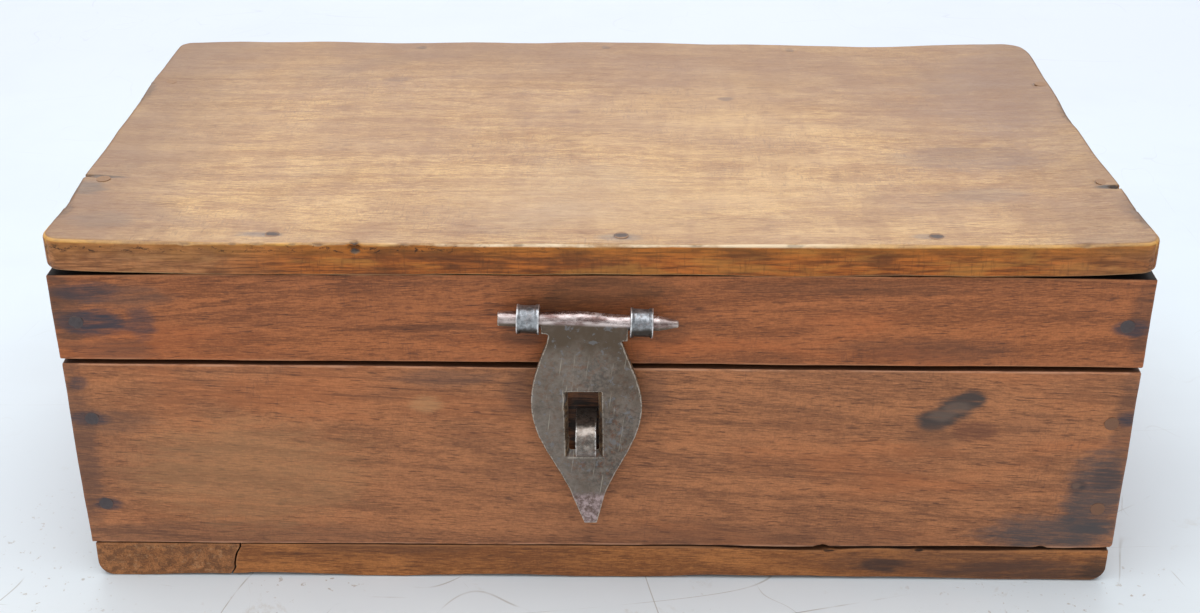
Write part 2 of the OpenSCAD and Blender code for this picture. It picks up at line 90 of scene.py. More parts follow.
NAIL_DENT = 0.42
CORNER_X = END - WALL_MID
BODY_NAILS = (BASE + (RIM - BASE) * 0.23, BASE + (RIM - BASE) * 0.71)
LID_NAIL = LID + (RAIL_TOP - LID) * 0.45
FRONT_NAILS_X = (-83, 5.5, 85)
BACK_NAILS_X = (-60.2, 0, 60.2)
SIDE_NAILS_Y = (-38, 38)
NAIL_ROW_Y = sizes_of("lid_top_board")[0][1] + 1 + WALL_MID


# Camera, fitted to the corners of the box in the photograph
CAMERA_AT = Vector((5.6, -453.9, 283.8)) * MM
CAMERA_YAW = math.radians(-0.83)
CAMERA_PITCH = math.radians(27.68)
CAMERA_ROLL = math.radians(-0.14)
FOCAL_PIXELS = 1673
PHOTO_WIDTH = 1200
SENSOR = 36.0


def make_camera():
    forward = Vector((
        math.sin(CAMERA_YAW) * math.cos(CAMERA_PITCH),
        math.cos(CAMERA_YAW) * math.cos(CAMERA_PITCH),
        -math.sin(CAMERA_PITCH),
    ))
    level = Vector((math.cos(CAMERA_YAW), -math.sin(CAMERA_YAW), 0))
    upward = level.cross(forward)
    right = math.cos(CAMERA_ROLL) * level + math.sin(CAMERA_ROLL) * upward
    up = math.cos(CAMERA_ROLL) * upward - math.sin(CAMERA_ROLL) * level
    data = bpy.data.cameras.new("camera")
    data.sensor_width = SENSOR
    data.lens = SENSOR * FOCAL_PIXELS / PHOTO_WIDTH
    data.clip_start = 0.01
    camera = bpy.data.objects.new("camera", data)
    turn = Matrix((right, up, -forward)).transposed().to_4x4()
    camera.matrix_world = Matrix.Translation(CAMERA_AT) @ turn
    bpy.context.scene.collection.objects.link(camera)
    bpy.context.scene.camera = camera


# Shader graphs
class Graph:
    """A material's node tree, with short calls for the nodes that are used here."""

    def __init__(self, name):
        self.material = bpy.data.materials.new(name)
        self.material.use_nodes = True
        self.tree = self.material.node_tree
        self.tree.nodes.clear()
        self.surface = self.tree.nodes.new("ShaderNodeBsdfPrincipled")
        output = self.tree.nodes.new("ShaderNodeOutputMaterial")
        self.tree.links.new(self.surface.outputs[0], output.inputs["Surface"])
        self.place = self.tree.nodes.new("ShaderNodeTexCoord").outputs["Object"]
        self.facing = self.tree.nodes.new("ShaderNodeTexCoord").outputs["Normal"]

    def put(self, socket, value):
        if isinstance(value, bpy.types.NodeSocket):
            self.tree.links.new(value, socket)
        elif socket.type == "RGBA" and len(value) == 3:
            socket.default_value = (*value, 1)
        else:
            socket.default_value = value

    def math(self, operation, first, second=0.0, third=0.0, clamp=False):
        node = self.tree.nodes.new("ShaderNodeMath")
        node.operation = operation
        node.use_clamp = clamp
        self.put(node.inputs[0], first)
        self.put(node.inputs[1], second)
        self.put(node.inputs[2], third)
        return node.outputs[0]

    def multiply(self, first, *others):
        for other in others:
            first = self.math("MULTIPLY", first, other)
        return first

    def multiply_add(self, first, second, third, clamp=False):
        return self.math("MULTIPLY_ADD", first, second, third, clamp)

    def absolute(self, value):
        return self.math("ABSOLUTE", value)

    def split(self, vector):
        node = self.tree.nodes.new("ShaderNodeSeparateXYZ")
        self.put(node.inputs[0], vector)
        return node.outputs

    def scaled(self, vector, scale, offset=(0, 0, 0)):
        node = self.tree.nodes.new("ShaderNodeMapping")
        self.put(node.inputs["Vector"], vector)
        node.inputs["Scale"].default_value = scale
        node.inputs["Location"].default_value = offset
        return node.outputs[0]

    def turned(self, vector, degrees):
        """The place turned about the line of sight, so that lines run a little uphill."""
        node = self.tree.nodes.new("ShaderNodeMapping")
        self.put(node.inputs["Vector"], vector)
        node.inputs["Rotation"].default_value = (0, math.radians(degrees), 0)
        return node.outputs[0]

    def noise(self, scale, detail=3.0, rough=0.5, warp=0.0, offset=(0, 0, 0), vector=None):
        node = self.tree.nodes.new("ShaderNodeTexNoise")
        self.put(node.inputs["Vector"], self.scaled(vector or self.place, scale, offset))
        node.inputs["Scale"].default_value = 1.0
        node.inputs["Detail"].default_value = detail
        node.inputs["Roughness"].default_value = rough
        node.inputs["Distortion"].default_value = warp
        return node.outputs["Fac"]

    def fine(self, scale, detail=4, rough=0.7, warp=0.0, offset=(0, 0, 0)):
        """Noise of the same size every way."""
        return self.noise((scale, scale, scale), detail, rough, warp, offset)

    def band(self, value, low, high):
        """0 below low, 1 above high and smooth between them; low may be over high."""
        node = self.tree.nodes.new("ShaderNodeMapRange")
        node.interpolation_type = "SMOOTHSTEP"
        self.put(node.inputs["Value"], value)
        node.inputs["From Min"].default_value = min(low, high)
        node.inputs["From Max"].default_value = max(low, high)
        node.inputs["To Min"].default_value = 0.0 if low <= high else 1.0
        node.inputs["To Max"].default_value = 1.0 if low <= high else 0.0
        return node.outputs["Result"]

    def mix(self, share, first, second, blend="MIX"):
        node = self.tree.nodes.new("ShaderNodeMix")
        node.data_type = "RGBA"
        node.blend_type = blend
        self.put(node.inputs["Factor"], share)
        self.put(node.inputs[6], first)
        self.put(node.inputs[7], second)
        return node.outputs[2]

    def over(self, colour, tone, *shares):
        """A tone laid over a colour, as strongly as all the shares together let it."""
        return self.mix(self.multiply(*shares), colour, tone)

    def attribute(self, name):
        node = self.tree.nodes.new("ShaderNodeAttribute")
        node.attribute_name = name
        return node.outputs["Fac"]

    def near(self, centre, radii, fray=0.25, grain=(300, 300, 300)):
        """1 at a place and 0 past the radii round it, with a frayed rim; sizes in mm."""
        scale = tuple(1 / (radius * MM) for radius in radii)
        offset = tuple(-c / radius for c, radius in zip(centre, radii))
        length = self.tree.nodes.new("ShaderNodeVectorMath")
        length.operation = "LENGTH"
        self.put(length.inputs[0], self.scaled(self.place, scale, offset))
        frayed = self.multiply_add(self.noise(grain, 4, 0.65), 2 * fray, -fray)
        return self.band(self.math("ADD", length.outputs["Value"], frayed), 1.0, 0.45)

    def bump(self, height, distance, strength=0.8, normal=None):
        node = self.tree.nodes.new("ShaderNodeBump")
        node.inputs["Strength"].default_value = strength
        node.inputs["Distance"].default_value = distance
        self.put(node.inputs["Height"], height)
        if normal:
            self.put(node.inputs["Normal"], normal)
        return node.outputs[0]

    def set(self, **values):
        for name, value in values.items():
            self.put(self.surface.inputs[name.replace("_", " ").title().replace("Ior", "IOR")], value)


def srgb(red, green, blue):
    """A colour as it is seen on a screen, from 0 to 255, as the linear one that a shader takes."""
    def linear(value):
        part = value / 255
        return part / 12.92 if part <= 0.04045 else ((part + 0.055) / 1.055) ** 2.4
    return (linear(red), linear(green), linear(blue))


# Wood
INK = srgb(58, 56, 66)
SOOT = srgb(44, 32, 28)


class Wood:
    """A wooden material that is built up by laying tone over tone; along is the grain's axis."""

    def __init__(self, name, along, light, middle, dark, shift, tilt=0.0):
        self.graph = Graph(name)
        self.place = self.graph.turned(self.graph.place, tilt)
        self.along = along
        self.shift = shift
        self.light = light
        self.middle = middle
        self.dark = dark
        self.colour = None

    def stretched(self, lengthwise, across):
        return tuple(lengthwise if axis == self.along else across for axis in range(3))

    def grain(self, lengthwise, across, detail=3.0, rough=0.55, warp=0.0, offset=0.0):
        place = tuple(s + offset for s in self.shift)
        scale = self.stretched(lengthwise, across)
        return self.graph.noise(scale, detail, rough, warp, place, self.place)

    def fibres(self):
        return self.grain(300, 2900, 3, 0.75, 0.2, 7.7)

    def dashes(self):
        return self.grain(190, 2300, 2, 0.5, 0.1, 5.3)

    def lay(self, tone, *shares):
        self.colour = self.graph.over(self.colour, tone, *shares)

    def figure(self, threads_share=0.27, swell_share=0.06):
        """Growth lines that wander along the board, from the light to the middle colour."""
        g = self.graph
        drift = self.grain(5, 48, 3, 0.5, 0.6, 3.1)
        lines = g.math("SINE", g.multiply(drift, 55))
        threads = self.grain(85, 1150, 4, 0.7, 0.3, 57.7)
        swell = self.grain(24, 240, 4, 0.65, 0.5, 77.7)
        share = g.multiply_add(lines, 0.04, 0.05)
        share = g.multiply_add(self.fibres(), 0.90 - threads_share - swell_share, share)
        share = g.multiply_add(threads, threads_share, share)
        share = g.multiply_add(swell, swell_share, share)
        colour = g.mix(g.band(share, 0.41, 0.59), self.light, self.middle)
        grit = g.band(g.fine(1500, 3), 0.36, 0.64)
        grit = g.mix(grit, srgb(120, 120, 120), srgb(255, 255, 255))
        self.colour = g.mix(0.22, colour, grit, "MULTIPLY")

    def streaks(self, amount):
        """Dark lines along the grain, in a few drifts."""
        lines = self.graph.band(self.grain(18, 1000, 4, 0.70, 0.3, 11.3), 0.54, 0.68)
        drifts = self.graph.band(self.grain(6, 40, 3, 0.6, 0.3, 19.9), 0.42, 0.62)
        self.lay(self.dark, lines, drifts, amount)

    def pores(self, amount):
        """Short dark dashes, the open pores of the wood."""
        self.lay(self.dark, self.graph.band(self.dashes(), 0.58, 0.68), amount)

    def crossed(self, tone, amount):
        """Short marks across the grain: planing, rubbing and small cracks in the old finish."""
        marks = self.graph.band(self.grain(1400, 300, 3, 0.7, 0.8, 71.0), 0.54, 0.66)
        areas = self.graph.band(self.grain(30, 40, 2, 0.5, 0.2, 76.0), 0.46, 0.64)
        self.lay(tone, marks, areas, amount)

    def patches(self, tone, amount, low, high, size, offset=3.0):
        """Wide soft patches of another tone."""
        cloud = self.grain(size[0], size[1], 5, 0.6, 0.4, offset)
        self.lay(tone, self.graph.band(cloud, low, high), amount)

    def spots(self, spots):
        """Knots, stains, nail marks and painted shade; each is a centre and radii in mm, a tone and a
        strength.
        """
        g = self.graph
        fibres = g.band(self.grain(60, 800, 4, 0.75, 0.3, 91.0), 0.34, 0.58)
        fibres = g.multiply_add(fibres, 0.45, 0.68)
        for centre, radii, tone, strength in spots:
            share = g.near(centre, radii, 0.45, self.stretched(120, 420))
            self.lay(tone, share, strength, fibres)

    def finish(self, sheen=0.42, depth=0.10, gloss=0.35):
        """Roughness and relief from the same grain, then the whole material."""
        g = self.graph
        ridges = self.fibres()
        dashes = g.band(self.dashes(), 0.70, 0.57)
        height = g.math("ADD", g.multiply(ridges, 0.6), g.multiply(dashes, 0.4))
        soft = self.grain(40, 90, 3, 0.5, 0.0, 31.0)
        rough = g.math("ADD", g.multiply(soft, 0.22), g.multiply(ridges, 0.16))
        wave = g.bump(self.grain(25, 60, 2, 0.5, 0.0, 41.0), 0.35 * MM, 0.6)
        g.set(
            base_color=self.colour,
            roughness=g.math("ADD", rough, sheen),
            normal=g.bump(height, depth * MM, 0.8, wave),
            specular_ior_level=gloss,
        )
        return g.material


def lay_top_face(wood):
    """The golden face of the top board, darker and browner towards the back and the ends."""
    g = wood.graph
    wood.figure(0.16, 0.05)
    mottle = g.noise((75, 130, 75), 4, 0.6, 0.5, (6, 3, 2))
    wood.lay(srgb(158, 112, 72), g.band(mottle, 0.40, 0.64), 0.30)
    wood.patches(srgb(150, 108, 76), 0.50, 0.44, 0.66, (9, 22))
    wood.patches(srgb(220, 178, 122), 0.40, 0.50, 0.68, (11, 30), 51.0)
    wood.patches(srgb(142, 116, 96), 0.35, 0.52, 0.70, (16, 24), 87.0)
    ripple_marks = g.noise((110, 26, 26), 3, 0.6, 0.5, (4, 8, 1))
    wood.lay(srgb(140, 94, 60), g.band(ripple_marks, 0.42, 0.64), 0.26)
    wood.streaks(0.30)
    wood.pores(0.45)
    wood.crossed(srgb(116, 82, 62), 0.35)
    across = g.split(g.place)
    far = g.band(g.multiply_add(g.noise((14, 30, 14), 4, 0.6), 0.05, across[1]), 0.02, 0.09)
    wood.lay(srgb(132, 90, 56), far, 0.48)
    ends = g.multiply_add(g.noise((24, 16, 24), 4, 0.6), 0.05, g.absolute(across[0]))
    wood.lay(srgb(120, 84, 56), g.band(ends, 0.118, 0.165), 0.50)
    halo = srgb(118, 106, 100)
    top = BOARD_TOP
    wood.spots([
        ((0, -48, top), (58, 26, 8), srgb(222, 184, 134), 0.24),
        ((52, -46, top), (30, 18, 8), srgb(222, 180, 124), 0.12),
        ((100, 8, top), (36, 26, 8), srgb(140, 98, 66), 0.45),
        ((-132, -62, top), (26, 18, 8), srgb(136, 94, 64), 0.40),
        ((118, 30, top), (26, 42, 8), srgb(134, 96, 70), 0.50),
        ((-40, 66, top), (60, 12, 8), srgb(136, 96, 66), 0.40),
        ((102, -20, top), (30, 12, 8), srgb(126, 92, 72), 0.55),
        ((-86, -71.3, top), (7.5, 2.2, 5), halo, 0.50),
        ((5.0, -72.0, top), (7.0, 3.0, 5), halo, 0.50),
        ((83, -71, top), (6.0, 2.2, 5), halo, 0.45),
        ((-83, -71.3, top), (3.4, 1.3, 5), INK, 0.75),
        ((5.5, -72.0, top), (3.2, 1.3, 5), INK, 0.65),
        ((85, -71, top), (2.8, 1.2, 5), INK, 0.75),
        ((-61.4, -77, top - 1.5), (3.2, 4, 1.9), srgb(48, 34, 28), 0.95),
        ((-137, -36.4, top), (9, 1.5, 6), SOOT, 0.70),
        ((-138, -44, top), (7, 6, 6), srgb(96, 80, 70), 0.55),
        ((-128, -64, top), (12, 7, 6), srgb(122, 98, 80), 0.40),
        ((137, -41.5, top), (7, 1.7, 6), SOOT, 0.85),
        ((140, -56, top), (7, 14, 6), srgb(112, 76, 50), 0.50),
        ((-64, 41, top), (5.5, 3.0, 5), srgb(112, 74, 54), 0.6),
        ((-8.6, 15.4, top), (3.2, 2.0, 5), srgb(126, 84, 62), 0.5),
        ((36.9, 26, top), (3.0, 2.0, 5), srgb(104, 80, 68), 0.7),
        ((102, -45, top), (15, 6, 5), srgb(132, 104, 84), 0.40),
    ])


def top_edge_tone(wood):
    """The red-brown edge of the top board, golden above, cloudy and faded towards the ends."""
    g = wood.graph
    across = g.split(g.place)
    threads = g.band(wood.grain(90, 1300, 4, 0.7), 0.34, 0.66)
    tone = g.mix(threads, srgb(196, 108, 42), srgb(102, 50, 20))
    cloudy = g.band(g.noise((60, 60, 160), 4, 0.65, 0.3, (3, 3, 3)), 0.44, 0.64)
    tone = g.over(tone, srgb(88, 44, 24), cloudy, 0.70)
    honey = g.band(g.noise((34, 34, 190), 4, 0.65, 0.3, (9, 5, 2)), 0.50, 0.64)
    tone = g.over(tone, srgb(200, 138, 64), honey, 0.42)
    cracks = g.band(g.noise((1300, 200, 240), 3, 0.65, 0.2), 0.52, 0.68)
    tone = g.over(tone, srgb(72, 38, 24), cracks, 0.32)
    left = g.multiply(g.band(across[0], -0.070, -0.105), 0.65)
    right = g.multiply(g.band(across[0], 0.105, 0.130), 0.35)
    pale = g.mix(threads, srgb(190, 138, 96), srgb(122, 80, 54))
    blotches = g.band(g.noise((110, 110, 260), 4, 0.7, 0.4, (2, 6, 6)), 0.44, 0.62)
    pale = g.over(pale, srgb(96, 62, 46), blotches, 0.55)
    tone = g.mix(g.math("ADD", left, right), tone, pale)
    height = g.multiply_add(cloudy, -1.2 * MM, across[2])
    golden = g.band(height, TOP - 6 * MM, TOP - 0.5 * MM)
    return g.over(tone, srgb(186, 122, 46), golden, 0.35)


def wood_of_top():
    wood = Wood(
        "wood_top", 0, srgb(218, 173, 112), srgb(174, 126, 76), srgb(106, 68, 42), (1, 2, 3)
    )
    lay_top_face(wood)
    g = wood.graph
    x, y, z = g.split(g.place)
    facing = g.split(g.facing)[2]
    side = g.band(g.absolute(facing), 0.66, 0.30)
    wood.lay(top_edge_tone(wood), side, 0.92)
    upper = g.band(z, TOP - 4 * MM, TOP - 2 * MM)
    front = g.band(y, -0.066, -0.070)
    # The front arris is rubbed lighter: wear, and partly a painted highlight; near the middle it turns
    # whitish, a painted reflection of the light.
    edge = g.attribute("edge")
    rubbed = g.band(g.noise((60, 60, 160), 4, 0.7, 0.0, (8, 3, 1)), 0.34, 0.60)
    middle = g.band(g.absolute(g.math("SUBTRACT", x, 8 * MM)), 0.075, 0.035)
    worn_and_highlight_tone = g.mix(middle, srgb(228, 172, 92), srgb(250, 226, 190))
    wood.lay(worn_and_highlight_tone, g.band(edge, 0.45, 0.85), rubbed, upper, front, 0.85)
    behind = g.math("SUBTRACT", 1.0, front)
    wood.lay(srgb(96, 70, 50), g.band(edge, 0.55, 0.95), upper, 0.55, behind)
    # Painted shade: the top board's downward faces are darker, and near-black under the front
    # overhang.
    underside_shade = g.band(facing, -0.75, -0.97)
    wood.lay(srgb(60, 38, 28), underside_shade, 0.6)
    wood.lay(srgb(22, 15, 12), underside_shade, g.band(y, -0.055, -0.062), 0.9)
    ticks = g.band(g.noise((420, 60, 900), 4, 0.75, 0.6, (5, 2, 9)), 0.54, 0.64)
    strip = g.band(g.absolute(g.math("SUBTRACT", z, TOP - 1.6 * MM)), 1.5 * MM, 0.4 * MM)
    amount = g.multiply_add(g.band(x, 0.010, -0.045), 0.6, 0.25)
    wood.lay(SOOT, ticks, strip, amount)
    wood.lay(srgb(72, 50, 36), g.band(g.attribute("dent"), 0.15, 0.90), 0.45)
    return wood.finish(0.27, 0.07, g.multiply_add(side, -0.35, 0.55))


def dirty_joint(wood, height, reach, start=None):
    """Dirt on the outer faces along an edge at a height in mm; it thins out left of start."""
    g = wood.graph
    x, y, z = g.split(g.place)
    frayed = g.multiply_add(g.noise((160, 160, 400), 4, 0.7), 1.6 * reach * MM, z)
    gap = g.absolute(g.math("SUBTRACT", frayed, (height + 0.8 * reach) * MM))
    shares = [
        g.band(gap, reach * MM, 0.3 * reach * MM),
        g.band(g.absolute(y), (DEPTH - 3) * MM, (DEPTH - 1.5) * MM),
    ]
    if start is not None:
        shares.append(g.band(x, (start - 25) * MM, (start + 25) * MM))
    wood.lay(srgb(30, 21, 17), *shares, 0.92)


def worn_board(wood, worn, sheen=0.42, depth=0.10, shaded_above=None):
    """Arrises rubbed lighter, partly a painted highlight; dents filled with grime; painted shade on
    the flat faces and above a given height; and the wood's finish.
    """
    g = wood.graph
    x, y, z = g.split(g.place)
    # Flat faces, seen only in the seams and joints, are painted darker: painted shade.
    flat = g.band(g.absolute(g.split(g.facing)[2]), 0.75, 0.97)
    wood.lay(srgb(50, 33, 26), flat, 0.75)
    # Arrises rubbed lighter: wear, and partly a painted highlight.
    edge = g.band(g.attribute("edge"), 0.50, 0.90)
    rubbed = g.band(wood.grain(60, 260, 4, 0.7, 0.0, 91.0), 0.36, 0.60)
    corner = g.band(g.absolute(x), (END - 3) * MM, (END - 1.5) * MM)
    corner = g.multiply(corner, g.band(y, -0.068, -0.072))
    dull = g.multiply_add(corner, -0.85, 1.0)
    wood.lay(worn, edge, rubbed, g.band(flat, 0.9, 0.4), dull, 0.65)
    # Faces above this height, in the gap under the top board, are painted near-black: painted shade,
    # kept off the bare corner at the back right.
    if shaded_above:
        hidden_shade = g.band(z, (shaded_above - 0.3) * MM, shaded_above * MM)
        bare = g.multiply(g.band(x, (END - 4) * MM, (END - 2.5) * MM), g.band(y, 0.050, 0.062))
        wood.lay(srgb(18, 12, 10), hidden_shade, flat, g.math("SUBTRACT", 1.0, bare), 0.95)
    wood.lay(SOOT, g.band(g.attribute("dent"), 0.2, 0.8), 0.8)
    return wood.finish(sheen, depth)


def on_front(*rows, reach=6):
    """Spots on the front: places across and up, radii across and up, a tone and a strength."""
    return [((x, -76, z), (wide, reach, tall), *rest) for x, z, wide, tall, *rest in rows]


def wood_of_rails():
    wood = Wood(
        "wood_rails", 0, srgb(188, 114, 68), srgb(142, 84, 50), srgb(68, 40, 32), (12, 5, 9), 1.5
    )
    wood.figure()
    wood.patches(srgb(118, 70, 50), 0.35, 0.46, 0.70, (10, 40))
    wood.patches(srgb(198, 108, 56), 0.40, 0.50, 0.70, (12, 50), 33.0)
    wood.streaks(0.50)
    wood.pores(0.60)
    wood.crossed(srgb(92, 60, 50), 0.30)
    grease = srgb(78, 54, 36)
    wood.spots(on_front(
        (-138, 84, 7, 14, srgb(84, 62, 52), 0.65),
        (-122, 88, 16, 5, srgb(96, 74, 64), 0.50),
        (-126, 72, 14, 4, srgb(84, 60, 50), 0.50),
        (139, 82, 5, 14, srgb(84, 60, 50), 0.50),
        (-131, 80.3, 13, 5.2, INK, 0.85),
        (-131, 89, 12, 3.8, INK, 0.55),
        (-118, 80, 5, 6, INK, 0.55),
        (136.5, 79.5, 6.5, 3.6, INK, 0.75),
        # Painted shade on the rail just below the hasp's cross-bar, at each side.
        (-20, 77, 8, 5, SOOT, 0.42),
        (18, 78, 7, 5, SOOT, 0.36),
        (1, 90.5, 27, 4.5, grease, 0.50),
        (-8, 86.5, 14, 4.0, grease, 0.40),
        (86, 73, 30, 5, srgb(84, 54, 42), 0.5),
        (60, 91, 40, 3, srgb(92, 58, 40), 0.4),
    ))
    dirty_joint(wood, RAIL_TOP, 0.5)
    return worn_board(wood, srgb(196, 134, 94), shaded_above=RAIL_TOP - 1.5)


def wood_of_boards():
    wood = Wood(
        "wood_boards", 0, srgb(192, 126, 82), srgb(148, 96, 64), srgb(74, 46, 36), (3, 15, 6), -3.0
    )
    wood.figure()
    wood.patches(srgb(126, 84, 62), 0.35, 0.46, 0.70, (9, 36))
    wood.patches(srgb(198, 116, 66), 0.40, 0.50, 0.70, (12, 44), 33.0)
    wood.streaks(0.45)
    wood.pores(0.60)
    wood.crossed(srgb(96, 66, 54), 0.30)
    grey = srgb(76, 71, 72)
    knot = srgb(74, 62, 58)
    knot_middle = srgb(116, 96, 84)
    wood.spots(on_front(
        (-100, 14, 60, 6, srgb(104, 72, 56), 0.45),
        (40, 14, 70, 5, srgb(110, 72, 52), 0.40),
        (-40, 64, 18, 3.5, srgb(110, 80, 66), 0.50),
        (-46, 56, 5.5, 3.4, srgb(186, 140, 96), 0.5),
        (-95, 34, 42, 22, srgb(178, 134, 92), 0.35),
        (88.6, 52.2, 6.6, 4.8, knot, 0.95),
        (93.4, 55.2, 6.8, 4.6, knot, 0.95),
        (97.4, 58.2, 5.2, 3.6, knot, 0.90),
        (90.0, 53.4, 4.8, 2.4, knot_middle, 0.55),
        (94.0, 55.8, 4.8, 2.2, knot_middle, 0.55),
        (99, 48.5, 8, 4, srgb(106, 64, 48), 0.6),
        (88, 46, 9, 5, srgb(116, 78, 56), 0.4),
        (-139, 42, 6, 34, srgb(92, 66, 56), 0.60),
        (139, 50, 5, 22, srgb(96, 68, 56), 0.50),
        (-130, 50, 14, 5, srgb(104, 76, 62), 0.50),
        (-136.4, 51.2, 7.0, 2.8, INK, 0.85),
        (-134.3, 23.9, 5.0, 2.7, INK, 0.70),
        (-136.9, 62, 3.5, 2.4, INK, 0.6),
        (139.4, 52.6, 4, 3, INK, 0.85),
        (124, 16, 26, 8, grey, 0.80),
        (134, 28, 11, 20, grey, 0.75),
        (128.5, 31.3, 3.4, 2.8, srgb(56, 52, 56), 0.7),
        (128.2, 31.5, 1.6, 1.3, srgb(118, 92, 76), 0.7),
        (136, 34, 5.5, 6, srgb(60, 56, 60), 0.5),
        # Painted shade in the recess behind the slot of the hasp.
        (-3.6, 53, 8.5, 13, srgb(36, 24, 19), 0.95),
        (-3.4, 45, 6, 6, srgb(30, 20, 16), 0.95),
        (-21, 60, 6, 10, srgb(96, 66, 52), 0.45),
        (14, 60, 5, 8, srgb(96, 66, 52), 0.40),
    ))
    dirty_joint(wood, BASE, 0.7, 25)
    return worn_board(wood, srgb(212, 156, 122))


def wood_of_ends():
    wood = Wood(
        "wood_ends", 1, srgb(178, 112, 72), srgb(146, 86, 56), srgb(78, 46, 34), (8, 3, 17)
    )
    wood.figure()
    wood.patches(srgb(112, 70, 50), 0.6, 0.46, 0.72, (10, 30))
    wood.streaks(0.8)
    wood.pores(0.5)
    wood.crossed(srgb(92, 60, 50), 0.22)
    return worn_board(wood, srgb(200, 140, 104))


def wood_of_base():
    wood = Wood(
        "wood_base", 0, srgb(196, 126, 68), srgb(144, 88, 46), srgb(72, 42, 28), (21, 2, 13)
    )
    wood.figure()
    wood.patches(srgb(112, 66, 40), 0.45, 0.44, 0.68, (12, 60))
    wood.streaks(0.8)
    wood.pores(0.55)
    wood.crossed(srgb(92, 58, 40), 0.25)
    grime = on_front(
        (118, 2.5, 34, 6, srgb(78, 54, 44), 0.75),
        (96, 6, 46, 6, srgb(92, 62, 48), 0.55),
        (138, 3, 7, 7, srgb(60, 42, 34), 0.75),
        reach=8,
    )
    wood.spots(grime + on_front(
        (78, 5, 9, 3, srgb(66, 48, 42), 0.75),
        (-60, 10, 30, 3, srgb(104, 66, 44), 0.5),
    ))
    dirty_joint(wood, BASE, 1.1, 20)
    return worn_board(wood, srgb(168, 114, 72), 0.46, 0.12)


def wood_of_strip():
    wood = Wood(
        "wood_strip", 1, srgb(190, 126, 76), srgb(148, 94, 54), srgb(74, 48, 36), (2, 31, 4)
    )
    g = wood.graph
    wood.figure()
    mottle = g.noise((330, 330, 420), 4, 0.7, 0.4)
    wood.lay(srgb(96, 64, 42), g.band(mottle, 0.42, 0.60), 0.65)
    glints = g.noise((520, 520, 620), 4, 0.7, 0.2, (5, 5, 1))
    wood.lay(srgb(198, 150, 106), g.band(glints, 0.54, 0.66), 0.45)
    wood.pores(0.6)
    wood.patches(srgb(92, 64, 48), 0.4, 0.44, 0.66, (40, 60), 13.0)
    return worn_board(wood, srgb(160, 108, 68), 0.50, 0.14)


def wood_of_dividers(along):
    wood = Wood(
        "wood_dividers_" + "xyz"[along], along,
        srgb(172, 122, 80), srgb(140, 94, 60), srgb(78, 50, 36), (5, 9, 25),
    )
    wood.figure()
    wood.patches(srgb(104, 72, 50), 0.6, 0.44, 0.70, (12, 24))
    wood.streaks(0.6)
    wood.pores(0.5)
    return worn_board(wood, srgb(190, 144, 100), 0.52, 0.10)


# Iron
RUST = srgb(116, 78, 56)
BRIGHT_IRON = srgb(226, 224, 222)


def iron(name, base, worn, rust_share, metal, rough, extra=None, shine=None):
    """Old forged iron: mottled, speckled with rust, and rubbed bright on its edges, partly a painted
    highlight.

    extra changes the colour; shine gives the share of bare, polished metal at each place."""
    g = Graph(name)
    cloud = g.fine(90, 5, 0.65, 0.3, (4, 4, 4))
    fine = g.fine(1000, 4, 0.75)
    speckle = g.fine(620, 3, 0.7, 0.3, (6, 6, 6))
    share = g.math("ADD", g.multiply(cloud, 0.30), g.multiply(fine, 0.30))
    share = g.multiply_add(speckle, 0.40, share)
    darker = tuple(0.42 * c for c in base)
    colour = g.mix(g.band(share, 0.40, 0.58), darker, base)
    specks = g.band(g.fine(700, 5, 0.75, 0.2, (9, 1, 5)), 0.50, 0.62)
    drift = g.band(g.fine(70, 3, 0.5, 0.0, (2, 7, 7)), 0.30, 0.60)
    rust = g.multiply(specks, drift, rust_share)
    colour = g.mix(rust, colour, RUST)
    if extra:
        colour = extra(g, colour)
    # Edges rubbed bright: wear, and partly a painted highlight.
    rubbed = g.band(fine, 0.36, 0.54)
    colour = g.over(colour, worn, g.band(g.attribute("edge"), 0.25, 0.75), rubbed, 0.75)
    hollows = g.band(g.attribute("edge"), -0.25, -0.75)
    colour = g.over(colour, srgb(60, 44, 36), hollows, 0.6)
    roughness = g.multiply_add(cloud, 0.20, rough - 0.10)
    roughness = g.multiply_add(rust, 0.25, roughness)
    metallic = g.multiply_add(rust, -0.5 * metal, metal)
    if shine:
        polish = g.multiply(shine(g), g.band(fine, 0.30, 0.50))
        roughness = g.multiply_add(polish, 0.27 - rough, roughness)
        metallic = g.multiply_add(polish, 0.95 - metal, metallic)
        fine = g.multiply_add(g.multiply(fine, polish), -0.7, fine)
    pits = g.math("ADD", g.multiply(fine, 0.5), g.multiply(cloud, 0.5))
    g.set(
        base_color=colour, metallic=metallic, roughness=roughness, normal=g.bump(pits, 0.14 * MM)
    )
    return g.material


def over_bar(g):
    """1 on the cross-bar and 0 below it, along the bar's own tilt."""
    x, y, z = g.split(g.place)
    height = g.multiply_add(x, math.tan(math.radians(1.8)), z)
    return g.band(height, bar_axis.z - 0.9 * MM, bar_axis.z + 0.1 * MM)


